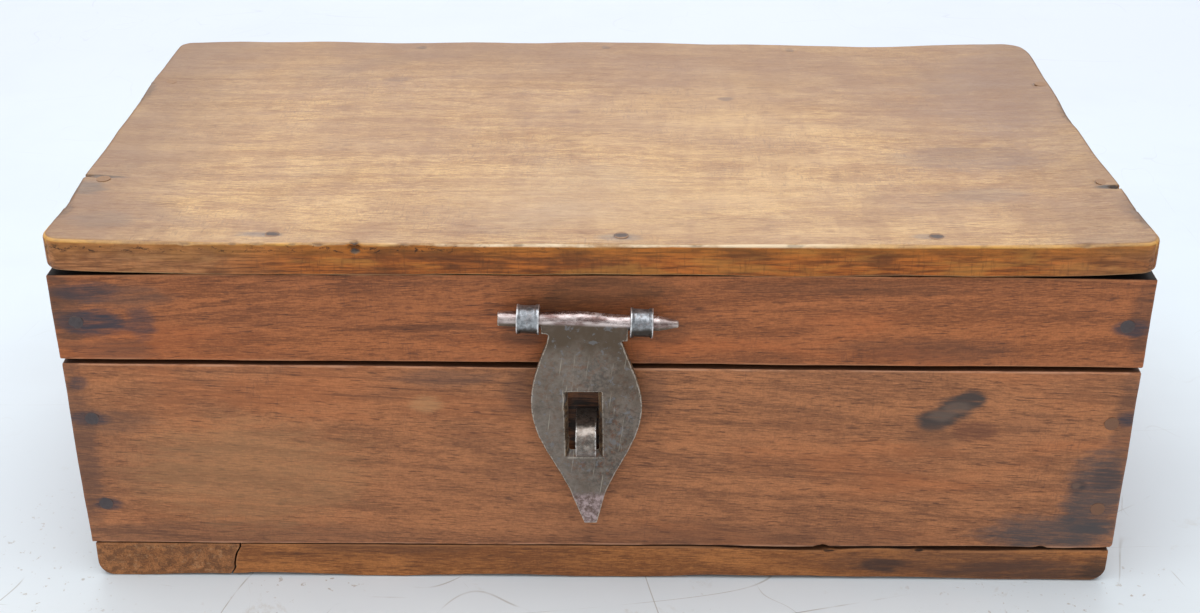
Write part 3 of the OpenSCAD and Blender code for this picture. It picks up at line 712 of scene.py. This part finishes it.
def scratches(g, colour):
    """Wear, grime and scratches on the leaf, and the purple-brown cross-bar and finger tab."""
    height = g.split(g.place)[2]
    bar = bar_axis.z
    worn_patch = g.band(g.noise((45, 45, 30), 3, 0.6, 0.3, (6, 6, 2)), 0.50, 0.68)
    colour = g.over(colour, srgb(140, 130, 120), worn_patch, 0.35)
    grime = g.band(g.noise((60, 60, 45), 4, 0.65, 0.3, (1, 6, 4)), 0.46, 0.62)
    neck = g.band(height, bar - 14 * MM, bar - 4 * MM)
    grime = g.multiply_add(neck, 0.65, g.multiply(grime, 0.50), clamp=True)
    colour = g.mix(grime, colour, srgb(86, 70, 54))
    bevel = g.band(g.absolute(g.split(g.facing)[0]), 0.30, 0.50)
    gold = g.band(g.fine(800, 3), 0.40, 0.62)
    gold = g.mix(gold, srgb(70, 50, 36), srgb(150, 118, 84))
    colour = g.over(colour, gold, bevel, 0.85)
    blue = g.band(g.fine(480, 3, 0.65, 0.2, (3, 8, 8)), 0.58, 0.66)
    colour = g.over(colour, srgb(122, 126, 132), blue, 0.5)
    slanted = g.turned(g.place, -7)
    thin = g.band(g.noise((1700, 200, 75), 2, 0.5, 0.1, (3, 1, 8), slanted), 0.635, 0.70)
    below_neck = g.band(height, bar - 8 * MM, bar - 13 * MM)
    colour = g.over(colour, srgb(180, 172, 156), thin, below_neck, 0.55)
    purple = g.band(g.noise((130, 420, 420), 4, 0.65), 0.35, 0.65)
    purple = g.mix(purple, srgb(122, 98, 94), srgb(216, 202, 200))
    colour = g.mix(over_bar(g), colour, purple)
    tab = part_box("hasp")[0].z + 8.2 * MM
    pink = g.band(g.fine(850, 4, 0.75), 0.36, 0.64)
    pink = g.mix(pink, srgb(104, 84, 78), srgb(176, 156, 156))
    frayed = g.multiply_add(g.fine(400), 3 * MM, height)
    return g.mix(g.band(frayed, tab + 2.2 * MM, tab + 0.6 * MM), colour, pink)


def shaded_underside(g, colour):
    """The lower half of an eye, out of the light, is painted darker: painted shade; its edges are
    painted bright, wear and partly a painted highlight.
    """
    height = g.split(g.place)[2]
    bar = bar_axis.z
    shade_tone = g.mix(g.fine(600), srgb(30, 24, 20), srgb(84, 76, 70))
    frayed = g.multiply_add(g.fine(500, 3, 0.6), 1.2 * MM, height)
    colour = g.mix(g.band(frayed, bar + 1.2 * MM, bar - 0.6 * MM), colour, shade_tone)
    return g.over(colour, BRIGHT_IRON, g.band(g.attribute("edge"), 0.25, 0.6), 0.6)


def nail_heads(name, wood, marks):
    """Nail heads grimed over to the wood's tone, with a blue-black middle at each mark in mm."""
    g = Graph(name)
    fine = g.fine(900)
    colour = g.mix(fine, tuple(0.75 * c for c in wood), wood)
    dark = g.mix(fine, srgb(40, 40, 48), srgb(84, 80, 84))
    for centre, radii, strength in marks:
        colour = g.over(colour, dark, g.near(centre, radii, 0.45, (420, 420, 420)), strength)
    g.set(base_color=colour, metallic=0.1, roughness=0.65, normal=g.bump(fine, 0.1 * MM))
    return g.material


# Meshes
def ripple(points, period, seed, waves=18):
    """A smooth uneven field over points, about -1 to 1, that repeats from run to run."""
    rng = np.random.default_rng(seed)
    ways = rng.normal(size=(waves, 3))
    ways /= np.linalg.norm(ways, axis=1, keepdims=True)
    pitch = 2 * math.pi / period * rng.uniform(0.5, 1.7, size=(waves, 1))
    phase = rng.uniform(0, 2 * math.pi, size=waves)
    return np.sin(points @ (ways * pitch).T + phase).sum(axis=1) / math.sqrt(waves)


def smooth_step(values):
    part = np.clip(values, 0, 1)
    return part * part * (3 - 2 * part)


EDGE_LINES = (0.3, 0.6, 1.0, 1.5, 2.1, 3.0, 4.2)
SPOT_LINES = np.arange(-3.6, 3.61, 0.6)
CLOSEST_LINES = 0.25


def grid_lines(low, high, cell, spots=()):
    """Coordinates across a board in mm: close together at its two edges and near each spot."""
    count = max(2, int(round((high - low) / cell)))
    lines = list(np.linspace(low, high, count + 1))
    for step in EDGE_LINES:
        if step < (high - low) / 2:
            lines += [low + step, high - step]
    for spot in spots:
        lines += list(spot + SPOT_LINES)
    kept = [low]
    for line in sorted(line for line in lines if low <= line <= high):
        if line - kept[-1] > CLOSEST_LINES:
            kept.append(line)
    kept[-1] = high
    return np.array(kept)


def box_surface(xs, ys, zs):
    """Points and quads of a box's six faces on the given grid lines."""
    shape = (len(xs), len(ys), len(zs))
    outer = np.ones(shape, bool)
    outer[1:-1, 1:-1, 1:-1] = False
    where = np.nonzero(outer)
    number = np.full(shape, -1)
    number[where] = np.arange(len(where[0]))
    points = np.stack([xs[where[0]], ys[where[1]], zs[where[2]]], axis=1)
    quads = []
    for axis in range(3):
        for end in (0, -1):
            sheet = np.take(number, end, axis=axis)
            corners = [sheet[:-1, :-1], sheet[1:, :-1], sheet[1:, 1:], sheet[:-1, 1:]]
            if (end == 0) != (axis == 1):
                corners.reverse()
            quads.append(np.stack([c.ravel() for c in corners], axis=1))
    return points, np.concatenate(quads)


def to_object(name, points, faces, **fields):
    """A smooth-shaded object from points in mm, with fields for the materials to read."""
    mesh = bpy.data.meshes.new(name)
    mesh.from_pydata([tuple(p) for p in points * MM], [], [tuple(map(int, f)) for f in faces])
    mesh.polygons.foreach_set("use_smooth", np.ones(len(mesh.polygons), bool))
    for field, values in fields.items():
        layer = mesh.attributes.new(field, "FLOAT", "POINT")
        layer.data.foreach_set("value", values.astype(np.float32))
    mesh.update()
    piece = bpy.data.objects.new(name, mesh)
    bpy.context.scene.collection.objects.link(piece)
    return piece


def hand_board(name, low, high, seed, radius, uneven, cell, dents=(), shape=None, edge_size=None):
    """A hand-planed board with worn, rounded edges that stays inside its box; sizes in mm.

    Each dent is a place, a radius (or one each way) and a depth. shape moves the finished points.
    edge_size gives the edge radius at each point, where it isn't the same all over."""
    low = np.array(low, float)
    high = np.array(high, float)
    lines = [
        grid_lines(low[a], high[a], cell, sorted({round(d[0][a], 1) for d in dents}))
        for a in range(3)
    ]
    points, quads = box_surface(*lines)
    middle = (low + high) / 2
    half = (high - low) / 2
    away = half - np.abs(points - middle)
    wear = np.exp(-(np.sort(away, axis=1)[:, 1] / 1.1) ** 2)
    size = edge_size(*points.T) if edge_size else radius
    size = size * (1 + 0.45 * ripple(points, 38, seed))
    size = np.clip(size, 0.15, 0.8 * half.min())[:, None]
    core = np.clip(points - middle, -(half - size), half - size)
    out = points - middle - core
    normal = out / np.linalg.norm(out, axis=1, keepdims=True)
    points = middle + core + normal * size
    hollow = uneven * (0.5 + 0.35 * ripple(points, 75, seed + 1))
    hollow = hollow + 0.06 * (0.5 + 0.4 * ripple(points, 9, seed + 2))
    dented = np.zeros(len(points))
    for place, reach, depth in dents:
        gap = np.linalg.norm((points - np.array(place)) / np.array(reach), axis=1)
        gap = gap + 0.14 * ripple(points, 2.2, seed + 3)
        near = smooth_step(1.25 - gap)
        hollow = hollow + depth * near
        dented = np.maximum(dented, near)
    points = points - normal * np.clip(hollow, 0, None)[:, None]
    if shape:
        shape(points)
    return to_object(name, points, quads, edge=wear, dent=dented)


def dress(piece, body, slot, material, *nodes):
    """Puts a finished piece in place of CAD nodes, on its body, in its material."""
    piece.data.materials.clear()
    piece.data.materials.append(material)
    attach(piece, body)
    if nodes:
        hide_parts(*nodes)


def nail_dents(places, depth=NAIL_DENT):
    """Round dents, as the nails' heads leave them."""
    return [(place, 2.0, depth) for place in places]


# Shapes: each of these moves a board's points, and x, y and z are views of them
SEAM_REACH = 12.0
SLANT_RUN = 80.0
SLANT_REACH = 12.0
SIDE_SLANT = (1.5, -66)
TOP_SLANT = (2.9, -88)


def slant(points, inset, start):
    """The right end of the box slants in towards the back from start, as in the photograph."""
    x, y, z = points.T
    outer = np.clip((x - (END - SLANT_REACH)) / SLANT_REACH, 0, 1)
    x -= inset * smooth_step((y - start) / SLANT_RUN) * outer


def body_seam(points, edge=RIM, way=1):
    """Bends a board's edge at the height edge to the slanting seam; way is 1 for the body."""
    x, y, z = points.T
    near = smooth_step(1 - way * (edge - z) / SEAM_REACH)
    z -= near * SEAM_DROP * x / (2 * END)
    slant(points, *SIDE_SLANT)


def lid_seam(points):
    body_seam(points, LID, -1)


def front_rail_shape(points):
    """The rail's upper edge is worn away towards its ends, where the top board has lifted."""
    x, y, z = points.T
    near = smooth_step((z - RAIL_TOP + 5) / 5)
    z -= near * 0.7 * np.clip(np.abs(x) - 93, 0, None) / WARP_RUN
    lid_seam(points)


def rounded(out, across):
    """Which points lie past the start of a round corner both ways, and the share they keep."""
    corner = (out > 0) & (across > 0)
    reach = np.where(corner, np.hypot(out, across), 1)
    return corner, np.where(corner, np.maximum(out, across) / reach, 1)


def round_plan(points, half, radius):
    """Rounds the corners of a board in plan."""
    plan = points[:, :2]
    out = np.abs(plan) - (half - radius)
    corner, keep = rounded(*out.T)
    moved = np.sign(plan) * (half - radius + out * keep[:, None])
    points[:, :2] = np.where(corner[:, None], moved, plan)


TOP_ROUND = 5.0
BACK_CUT = 2.0
CUT_REACH = 11.0
BACK_RISE = 0.9
TOP_CHIPS = (
    (-104, 2.0, 0.30), (-92, 1.2, 0.22), (-85.5, 2.2, 0.30), (-77, 1.2, 0.25), (-70.5, 1.8, 0.32),
    (-49, 1.4, 0.22), (-20, 2.6, 0.16), (24, 2.0, 0.22), (49, 3.0, 0.26), (96, 1.6, 0.22),
    (122, 2.6, 0.26),
)


def make_top_board(material):
    low, high = sizes_of("lid_top_board")
    rise = high[2] - BOARD_TOP
    flat_high = np.array([high[0], high[1], BOARD_TOP])

    def shape(points):
        round_plan(points, high[:2], TOP_ROUND)
        x, y, z = points.T
        # the back right corner is cut back
        cut = (x + y - high[0] - high[1] + CUT_REACH) / CUT_REACH
        points[:, :2] -= BACK_CUT * smooth_step(cut)[:, None]
        slant(points, *TOP_SLANT)
        # the ends are warped up, as in the CAD, and the back edge is thicker on the left
        lift = rise * (np.clip(np.abs(x) - (high[0] - WARP_RUN), 0, None) / WARP_RUN) ** 2
        upper = smooth_step((z - low[2]) / 6)
        back_left = smooth_step((y - 5) / 60) * smooth_step((90 - x) / 90)
        z += np.maximum(lift, upper * min(BACK_RISE, rise) * back_left)

    def edge_size(x, y, z):
        upper = z > (low[2] + BOARD_TOP) / 2
        size = np.where(upper, 1.5, 0.8)
        return np.where(upper & (y < low[1] + 20), 1.1, size)

    nails = [(x, NAIL_ROW_Y, BOARD_TOP) for x in FRONT_NAILS_X]
    nails += [(x, high[1] - 1 - WALL_MID, BOARD_TOP) for x in BACK_NAILS_X]
    nails += [(side * CORNER_X, y, BOARD_TOP) for side in (-1, 1) for y in SIDE_NAILS_Y]
    dents = nail_dents(nails, 0.2) + [
        ((-61.4, low[1] + 0.5, BOARD_TOP - 1), 1.7, 1.6),
        ((low[0], -36.4, BOARD_TOP - 0.5), (3.0, 0.8, 3.0), 0.8),
        ((high[0], -41.5, BOARD_TOP - 0.5), (4.2, 1.1, 3.0), 1.4),
        ((low[0], -58, BOARD_TOP), (4.0, 9.0, 4.0), 0.25),
        ((high[0], -60, BOARD_TOP), (4.0, 10.0, 4.0), 0.25),
        ((high[0], 12, BOARD_TOP), (4.0, 12.0, 4.0), 0.25),
        ((low[0], 28, BOARD_TOP), (4.0, 12.0, 4.0), 0.25),
    ]
    dents += [((x, low[1], BOARD_TOP), (reach, 1.0, 0.9), depth) for x, reach, depth in TOP_CHIPS]
    piece = hand_board(
        "worn_top_board", low, flat_high, 11, None, 0.30, 2.5, dents, shape, edge_size
    )
    dress(piece, "lid", "top_wood", material, "lid_top_board")


OVERHANG = 0.9


def make_walls(group, kind, body, seed, heights, materials, seam, front_radius, front_shape,
               chips=(), front_edges=None):
    """The four boards of the lid or the body, with nails at the corners of the front and back.

    Their outer ends are grown, and their slanting edge starts from its middle height."""
    for number, side, radius, uneven, cell, shape in (
        (0, "front", front_radius, 0.30, 2.5, front_shape), (1, "back", 0.7, 0.20, 5.0, seam),
        (2, "left", 0.6, 0.25, 5.0, seam), (3, "right", 0.6, 0.25, 5.0, seam),
    ):
        low, high = sizes_of(f"{group}_{side}_{kind}")
        low[0] -= OVERHANG if low[0] < -END + 1 else 0
        high[0] += OVERHANG if high[0] > END - 1 else 0
        if group == "lid":
            low[2] = LID
        else:
            high[2] = RIM
        face = low[1] if side == "front" else high[1]
        nails = nail_dents([(end * CORNER_X, face, z) for end in (-1, 1) for z in heights])
        edges = None
        if side == "front":
            nails += chips
            edges = front_edges
        elif side != "back":
            nails = []
        piece = hand_board(
            f"worn_{side}_{kind}", low, high, seed + number, radius, uneven, cell, nails, shape, edges
        )
        material = materials[0] if number < 2 else materials[1]
        dress(piece, body, f"{kind}_wood", material, f"{group}_{side}_{kind}")


def make_lid_rails(*materials):
    make_walls("lid", "rail", "lid", 21, [LID_NAIL], materials, lid_seam, 0.6, front_rail_shape)


def make_body_boards(*materials):
    chips = [((61, FRONT, BASE), (1.7, 1.6, 0.9), 0.8), ((121, FRONT, BASE), (1.5, 1.4, 0.7), 0.5)]

    def worn_foot(x, y, z):
        # the joint with the base is open towards the right
        right = smooth_step((x - 10) / 40)
        return np.where(z < (BASE + RIM) / 2, 0.35 + 0.5 * right, 0.7)

    make_walls(
        "body", "board", "box", 31, BODY_NAILS, materials, body_seam, None, body_seam, chips, worn_foot
    )


BASE_ROUND = 4.5
STRIP_SLANT = 3.0
BASE_NAILS_X = (-52, 28, 104)
STRIP_NAIL_X = -118


def base_foot(points, front, end, seed):
    """Rounds a base board's lower corner at one end and wears its lower front edge unevenly."""
    x, y, z = points.T
    out = x * end - (END - BASE_ROUND)
    below = BASE_ROUND - z
    corner, keep = rounded(out, below)
    points[:, 0] = np.where(corner, end * (END - BASE_ROUND + out * keep), x)
    points[:, 2] = np.where(corner, BASE_ROUND - below * keep, z)
    near = smooth_step((front + 6 - y) / 6) * smooth_step((4 - z) / 4)
    lift = 0.45 + 0.45 * ripple(points * np.array([1, 0, 0]), 60, seed)
    z += near * np.clip(lift, 0, 1.2)


def jagged(points):
    return 0.30 * np.clip(ripple(points * np.array([0, 0.3, 1]), 4, 48), -1.5, 1.5)


def under_nails(places_x, end_x):
    """Nails from below: two rows into the front and back boards and one into an end board."""
    places = [(x, side * (DEPTH - WALL_MID), 0) for side in (-1, 1) for x in places_x]
    return nail_dents([*places, (end_x, 0, 0)])


def make_base(material):
    low, high = sizes_of("base_board")
    dents = under_nails(BASE_NAILS_X, CORNER_X) + [
        ((88, low[1], BASE), (1.8, 1.6, 0.9), 0.5), ((63, low[1], BASE), (2.0, 1.6, 0.9), 0.6),
    ]

    def shape(points):
        x, y, z = points.T
        # the left end meets the strip along a slanted joint
        left = smooth_step((low[0] + 12 - x) / 12)
        x += left * (STRIP_SLANT * z / BASE + jagged(points))
        # the joint with the front board is open towards the right
        right = smooth_step((x - 20) / 30)
        front_top = smooth_step((low[1] + 8 - y) / 8)
        front_top = front_top * smooth_step((z - BASE + 5) / 5)
        z -= front_top * right * (0.75 + 0.3 * ripple(points, 30, 45))
        base_foot(points, low[1], 1, 43)

    def worn_top(x, y, z):
        right = smooth_step((x + 10) / 50)
        size = np.where(z > BASE / 2, 0.35 + 0.4 * right, 0.8)
        return np.where(x < low[0] + 5, 0.2, size)

    piece = hand_board("worn_base_board", low, high, 41, None, 0.25, 2.5, dents, shape, worn_top)
    dress(piece, "box", "base_wood", material, "base_board")


def make_strip(material):
    low, high = sizes_of("base_end_strip")
    high[0] += 0.2

    def shape(points):
        x, y, z = points.T
        right = smooth_step((x - high[0] + 12) / 12)
        x -= right * (STRIP_SLANT * (1 - z / BASE) - jagged(points))
        base_foot(points, low[1], -1, 44)

    def edges(x, y, z):
        return np.where(x > high[0] - 5, 0.2, 0.6)

    dents = under_nails([STRIP_NAIL_X], -CORNER_X)
    piece = hand_board("worn_base_strip", low, high, 42, None, 0.25, 4.0, dents, shape, edges)
    dress(piece, "box", "strip_wood", material, "base_end_strip")


def make_dividers():
    low, high = sizes_of("divider_long")
    piece = hand_board("worn_long_divider", low, high, 51, 0.8, 0.15, 6.0)
    dress(piece, "box", "divider_wood", wood_of_dividers(0), "divider_long")
    thick = high[1] * 2
    low, high = sizes_of("dividers_cross")
    material = wood_of_dividers(1)
    for number, start in enumerate((low[0], high[0] - thick)):
        left = np.array([start, low[1], low[2]])
        right = np.array([start + thick, high[1], high[2] - 0.3])
        name = f"worn_cross_divider_{number + 1}"
        piece = hand_board(name, left, right, 52 + number, 0.8, 0.15, 6.0)
        nodes = ["dividers_cross"] if number == 0 else []
        dress(piece, "box", "divider_wood", material, *nodes)


def curvature(mesh, points, normals):
    """How sharply the surface turns at each point, in 1/mm: above 0 on edges, below 0 in hollows."""
    ends = np.zeros(len(mesh.edges) * 2, np.int32)
    mesh.edges.foreach_get("vertices", ends)
    first, second = ends.reshape(-1, 2).T
    step = points[second] - points[first]
    total = np.zeros(len(points))
    count = np.zeros(len(points))
    for here, way in ((first, 1), (second, -1)):
        turn = -way * (step * normals[here]).sum(axis=1) / (step ** 2).sum(axis=1)
        np.add.at(total, here, 2 * turn)
        np.add.at(count, here, 1)
    return total / np.maximum(count, 1)


def vertex_values(mesh, field):
    values = np.zeros(len(mesh.vertices) * 3, np.float32)
    mesh.vertices.foreach_get(field, values)
    return values.reshape(-1, 3).astype(float)


def forged(node, body, slot, material, voxel, depth, seed, bend=None, hollow=None):
    """A hand-forged copy of an iron node: softened edges and a hammered surface."""
    source = frame["nodes"][node]
    piece = source.copy()
    piece.data = source.data.copy()
    piece.name = "forged_" + node
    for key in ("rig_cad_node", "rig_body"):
        if key in piece:
            del piece[key]
    piece.parent = None
    piece.matrix_world = Matrix.Identity(4)
    bpy.context.scene.collection.objects.link(piece)
    remesh = piece.modifiers.new("remesh", "REMESH")
    remesh.mode = "VOXEL"
    remesh.voxel_size = voxel * MM
    soften = piece.modifiers.new("soften", "SMOOTH")
    soften.factor = 0.5
    soften.iterations = 3
    seen = bpy.context.evaluated_depsgraph_get()
    mesh = bpy.data.meshes.new_from_object(piece.evaluated_get(seen))
    piece.modifiers.clear()
    piece.data = mesh
    points = vertex_values(mesh, "co") / MM
    normals = vertex_values(mesh, "normal")
    layer = mesh.attributes.new("edge", "FLOAT", "POINT")
    layer.data.foreach_set("value", curvature(mesh, points, normals).astype(np.float32))
    hammered = depth * (0.5 + 0.3 * ripple(points, 7, seed) + 0.2 * ripple(points, 2.5, seed + 1))
    if hollow:
        hammered = hammered + hollow(points)
    points = points - normals * np.clip(hammered, 0, None)[:, None]
    if bend:
        bend(points)
    mesh.vertices.foreach_set("co", (points * MM).astype(np.float32).ravel())
    mesh.polygons.foreach_set("use_smooth", np.ones(len(mesh.polygons), bool))
    mesh.update()
    dress(piece, body, slot, material, node)


def bow_bar(points):
    """The cross-bar is bowed up a little between the eyes."""
    middle = bar_axis / MM
    x, y, z = points.T
    beside = np.abs(x - middle[0] + 1.5) / 10.5
    low = smooth_step((z - (middle[2] - 6)) / 4)
    z += 0.6 * (1 - smooth_step(beside)) * low


EYE_RIM = 0.9
EYE_HOLLOW = 0.28


def eye_hollow(node):
    """The strip of an eye is a little hollow between its two raised edges."""
    low, high = sizes_of(node)
    middle = (low[0] + high[0]) / 2
    half = (high[0] - low[0]) / 2

    def hollow(points):
        inner = smooth_step((half - EYE_RIM - np.abs(points[:, 0] - middle)) / 0.5)
        return EYE_HOLLOW * inner * (points[:, 1] < FRONT)
    return hollow


def paint(node, material):
    """Gives a CAD node that stays in view its material."""
    mesh = frame["nodes"][node].data
    mesh.materials.clear()
    mesh.materials.append(material)


def make_iron():
    leaf = iron(
        "iron_hasp", srgb(126, 114, 104), srgb(190, 180, 168), 0.8, 0.30, 0.50, scratches, over_bar
    )
    bright = iron(
        "iron_eyes", srgb(178, 182, 188), srgb(236, 236, 240), 0.25, 0.85, 0.32, shaded_underside
    )
    staple = iron("iron_staple", srgb(158, 148, 140), srgb(230, 228, 226), 0.4, 0.90, 0.28)
    hinge = iron("iron_hinge", srgb(104, 98, 94), srgb(176, 170, 164), 0.8, 0.5, 0.5)
    corners = [
        ((side * CORNER_X, end * DEPTH, z), (3.4, 6, 3.0), 0.90)
        for side in (-1, 1) for end in (-1, 1) for z in (*BODY_NAILS, LID_NAIL)
        if side == -1 or end == 1 or z == LID_NAIL
    ]
    dark = nail_heads("iron_nails", srgb(134, 94, 70), corners)
    row = [((x, NAIL_ROW_Y, BOARD_TOP), (2.6, 1.5, 5), 0.80) for x in FRONT_NAILS_X]
    forged("hasp", "hasp", "forged_iron", leaf, 0.25, 0.10, 61, bow_bar)
    for number, node in enumerate(("hasp_eye_left", "hasp_eye_right")):
        forged(node, "lid", "rubbed_iron", bright, 0.2, 0.08, 62 + number, None, eye_hollow(node))
    forged("lock_staple", "box", "rubbed_iron", staple, 0.2, 0.08, 64)
    for side in ("left", "right"):
        forged(f"hinge_{side}_body_leaf", "box", "forged_iron", hinge, 0.3, 0.06, 65)
        forged(f"hinge_{side}_lid_leaf", "lid", "forged_iron", hinge, 0.3, 0.06, 66)
        paint(f"hinge_{side}_pin", hinge)
    for group in ("base", "body_corner", "hinge_body", "lid_corner", "hinge_lid"):
        paint(group + "_nails", dark)
    paint("lid_top_nails", nail_heads("iron_top_nails", srgb(162, 124, 92), row))


# The table and the light
TABLE_HALF = 3.0
CRACKS = (
    ((5, 1.5, 1), 3, 0.0007, 0.60), ((2, 8, 1), 9, 0.0007, 0.55), ((11, 4, 1), 5, 0.0012, 0.50),
    ((3, 14, 1), 14, 0.0012, 0.50), ((26, 20, 1), 21, 0.0030, 0.40),
)


def make_table():
    mesh = bpy.data.meshes.new("table")
    corners = [(x * TABLE_HALF, y * TABLE_HALF, 0) for x, y in ((-1, -1), (1, -1), (1, 1), (-1, 1))]
    mesh.from_pydata(corners, [], [(0, 1, 2, 3)])
    table = bpy.data.objects.new("table", mesh)
    bpy.context.scene.collection.objects.link(table)
    g = Graph("table_top")
    y = g.split(g.place)[1]
    # The table's colour grades from front to back: painted light in front of the box, where its shadow
    # falls, and painted shade far back.
    colour = g.mix(g.band(y, -0.02, -0.22), srgb(224, 233, 240), srgb(236, 239, 238))
    colour = g.mix(g.band(y, 0.12, 0.40), colour, srgb(220, 226, 237))
    cloud = g.band(g.fine(9, 4, 0.6), 0.40, 0.70)
    colour = g.over(colour, srgb(208, 214, 220), cloud, 0.22)
    front = g.band(y, 0.02, -0.10)
    fading = g.multiply_add(front, 0.8, 0.2)
    for scale, offset, width, amount in CRACKS:
        field = g.noise(scale, 2, 0.4, 0.3, (offset, offset, 1))
        line = g.band(g.absolute(g.math("SUBTRACT", field, 0.5)), width, 0)
        broken = g.band(g.noise((16, 16, 1), 4, 0.65, 0.0, (offset, 2, 5)), 0.50, 0.58)
        colour = g.over(colour, srgb(140, 126, 108), line, broken, amount, fading)
    specks = g.band(g.noise((420, 420, 1), 3, 0.6, 0.2, (7, 7, 7)), 0.63, 0.70)
    drifts = g.band(g.noise((14, 22, 1), 3, 0.6, 0.0, (3, 7, 2)), 0.52, 0.64)
    corner = g.near((-175, -85, 0), (60, 45, 1000), 0.4, (40, 40, 1))
    drifts = g.multiply_add(corner, 0.8, drifts, clamp=True)
    colour = g.over(colour, srgb(150, 122, 90), specks, drifts, front, 0.60)
    stains = g.band(g.noise((60, 60, 1), 5, 0.7, 0.4, (7, 7, 7)), 0.60, 0.74)
    colour = g.over(colour, srgb(180, 168, 148), stains, front, 0.35)
    g.set(base_color=colour, roughness=0.6, specular_ior_level=0.15)
    mesh.materials.append(g.material)


def area_light(name, at, aim, width, height, power, colour):
    data = bpy.data.lights.new(name, "AREA")
    data.shape = "RECTANGLE"
    data.size = width
    data.size_y = height
    data.energy = power
    data.color = colour
    light = bpy.data.objects.new(name, data)
    light.location = at
    light.rotation_euler = (Vector(aim) - Vector(at)).to_track_quat("-Z", "Y").to_euler()
    bpy.context.scene.collection.objects.link(light)


DAYLIGHT = (0.97, 0.985, 1.0)


def make_light():
    world = bpy.data.worlds.new("daylight")
    world.use_nodes = True
    nodes = world.node_tree.nodes
    links = world.node_tree.links
    sky = nodes["Background"]
    sky.inputs["Strength"].default_value = 0.78
    direction = nodes.new("ShaderNodeTexCoord").outputs["Generated"]
    parts = nodes.new("ShaderNodeSeparateXYZ")
    links.new(direction, parts.inputs[0])
    rise = nodes.new("ShaderNodeMapRange")
    rise.inputs["From Min"].default_value = 0.10
    rise.inputs["From Max"].default_value = 0.75
    links.new(parts.outputs[2], rise.inputs["Value"])
    blend = nodes.new("ShaderNodeMix")
    blend.data_type = "RGBA"
    blend.inputs[6].default_value = (0.50, 0.51, 0.52, 1)
    blend.inputs[7].default_value = (*DAYLIGHT, 1)
    links.new(rise.outputs["Result"], blend.inputs["Factor"])
    links.new(blend.outputs[2], sky.inputs["Color"])
    bpy.context.scene.world = world
    area_light("window", (0.0, 1.2, 0.95), (0, 0, 0.1), 1.6, 0.7, 9.0, DAYLIGHT)
    area_light("ceiling", (-0.1, -0.30, 1.2), (0, 0, 0.0), 1.4, 1.0, 6.8, DAYLIGHT)
    area_light("front", (-0.5, -1.3, 0.8), (0, 0, 0.05), 1.0, 0.8, 1.3, (1.0, 0.99, 0.97))


bpy.context.scene.view_settings.view_transform = "Standard"
make_camera()
boards = wood_of_boards()
rails = wood_of_rails()
ends = wood_of_ends()
make_top_board(wood_of_top())
make_lid_rails(rails, ends)
make_body_boards(boards, ends)
make_base(wood_of_base())
make_strip(wood_of_strip())
make_dividers()
make_iron()
make_table()
make_light()
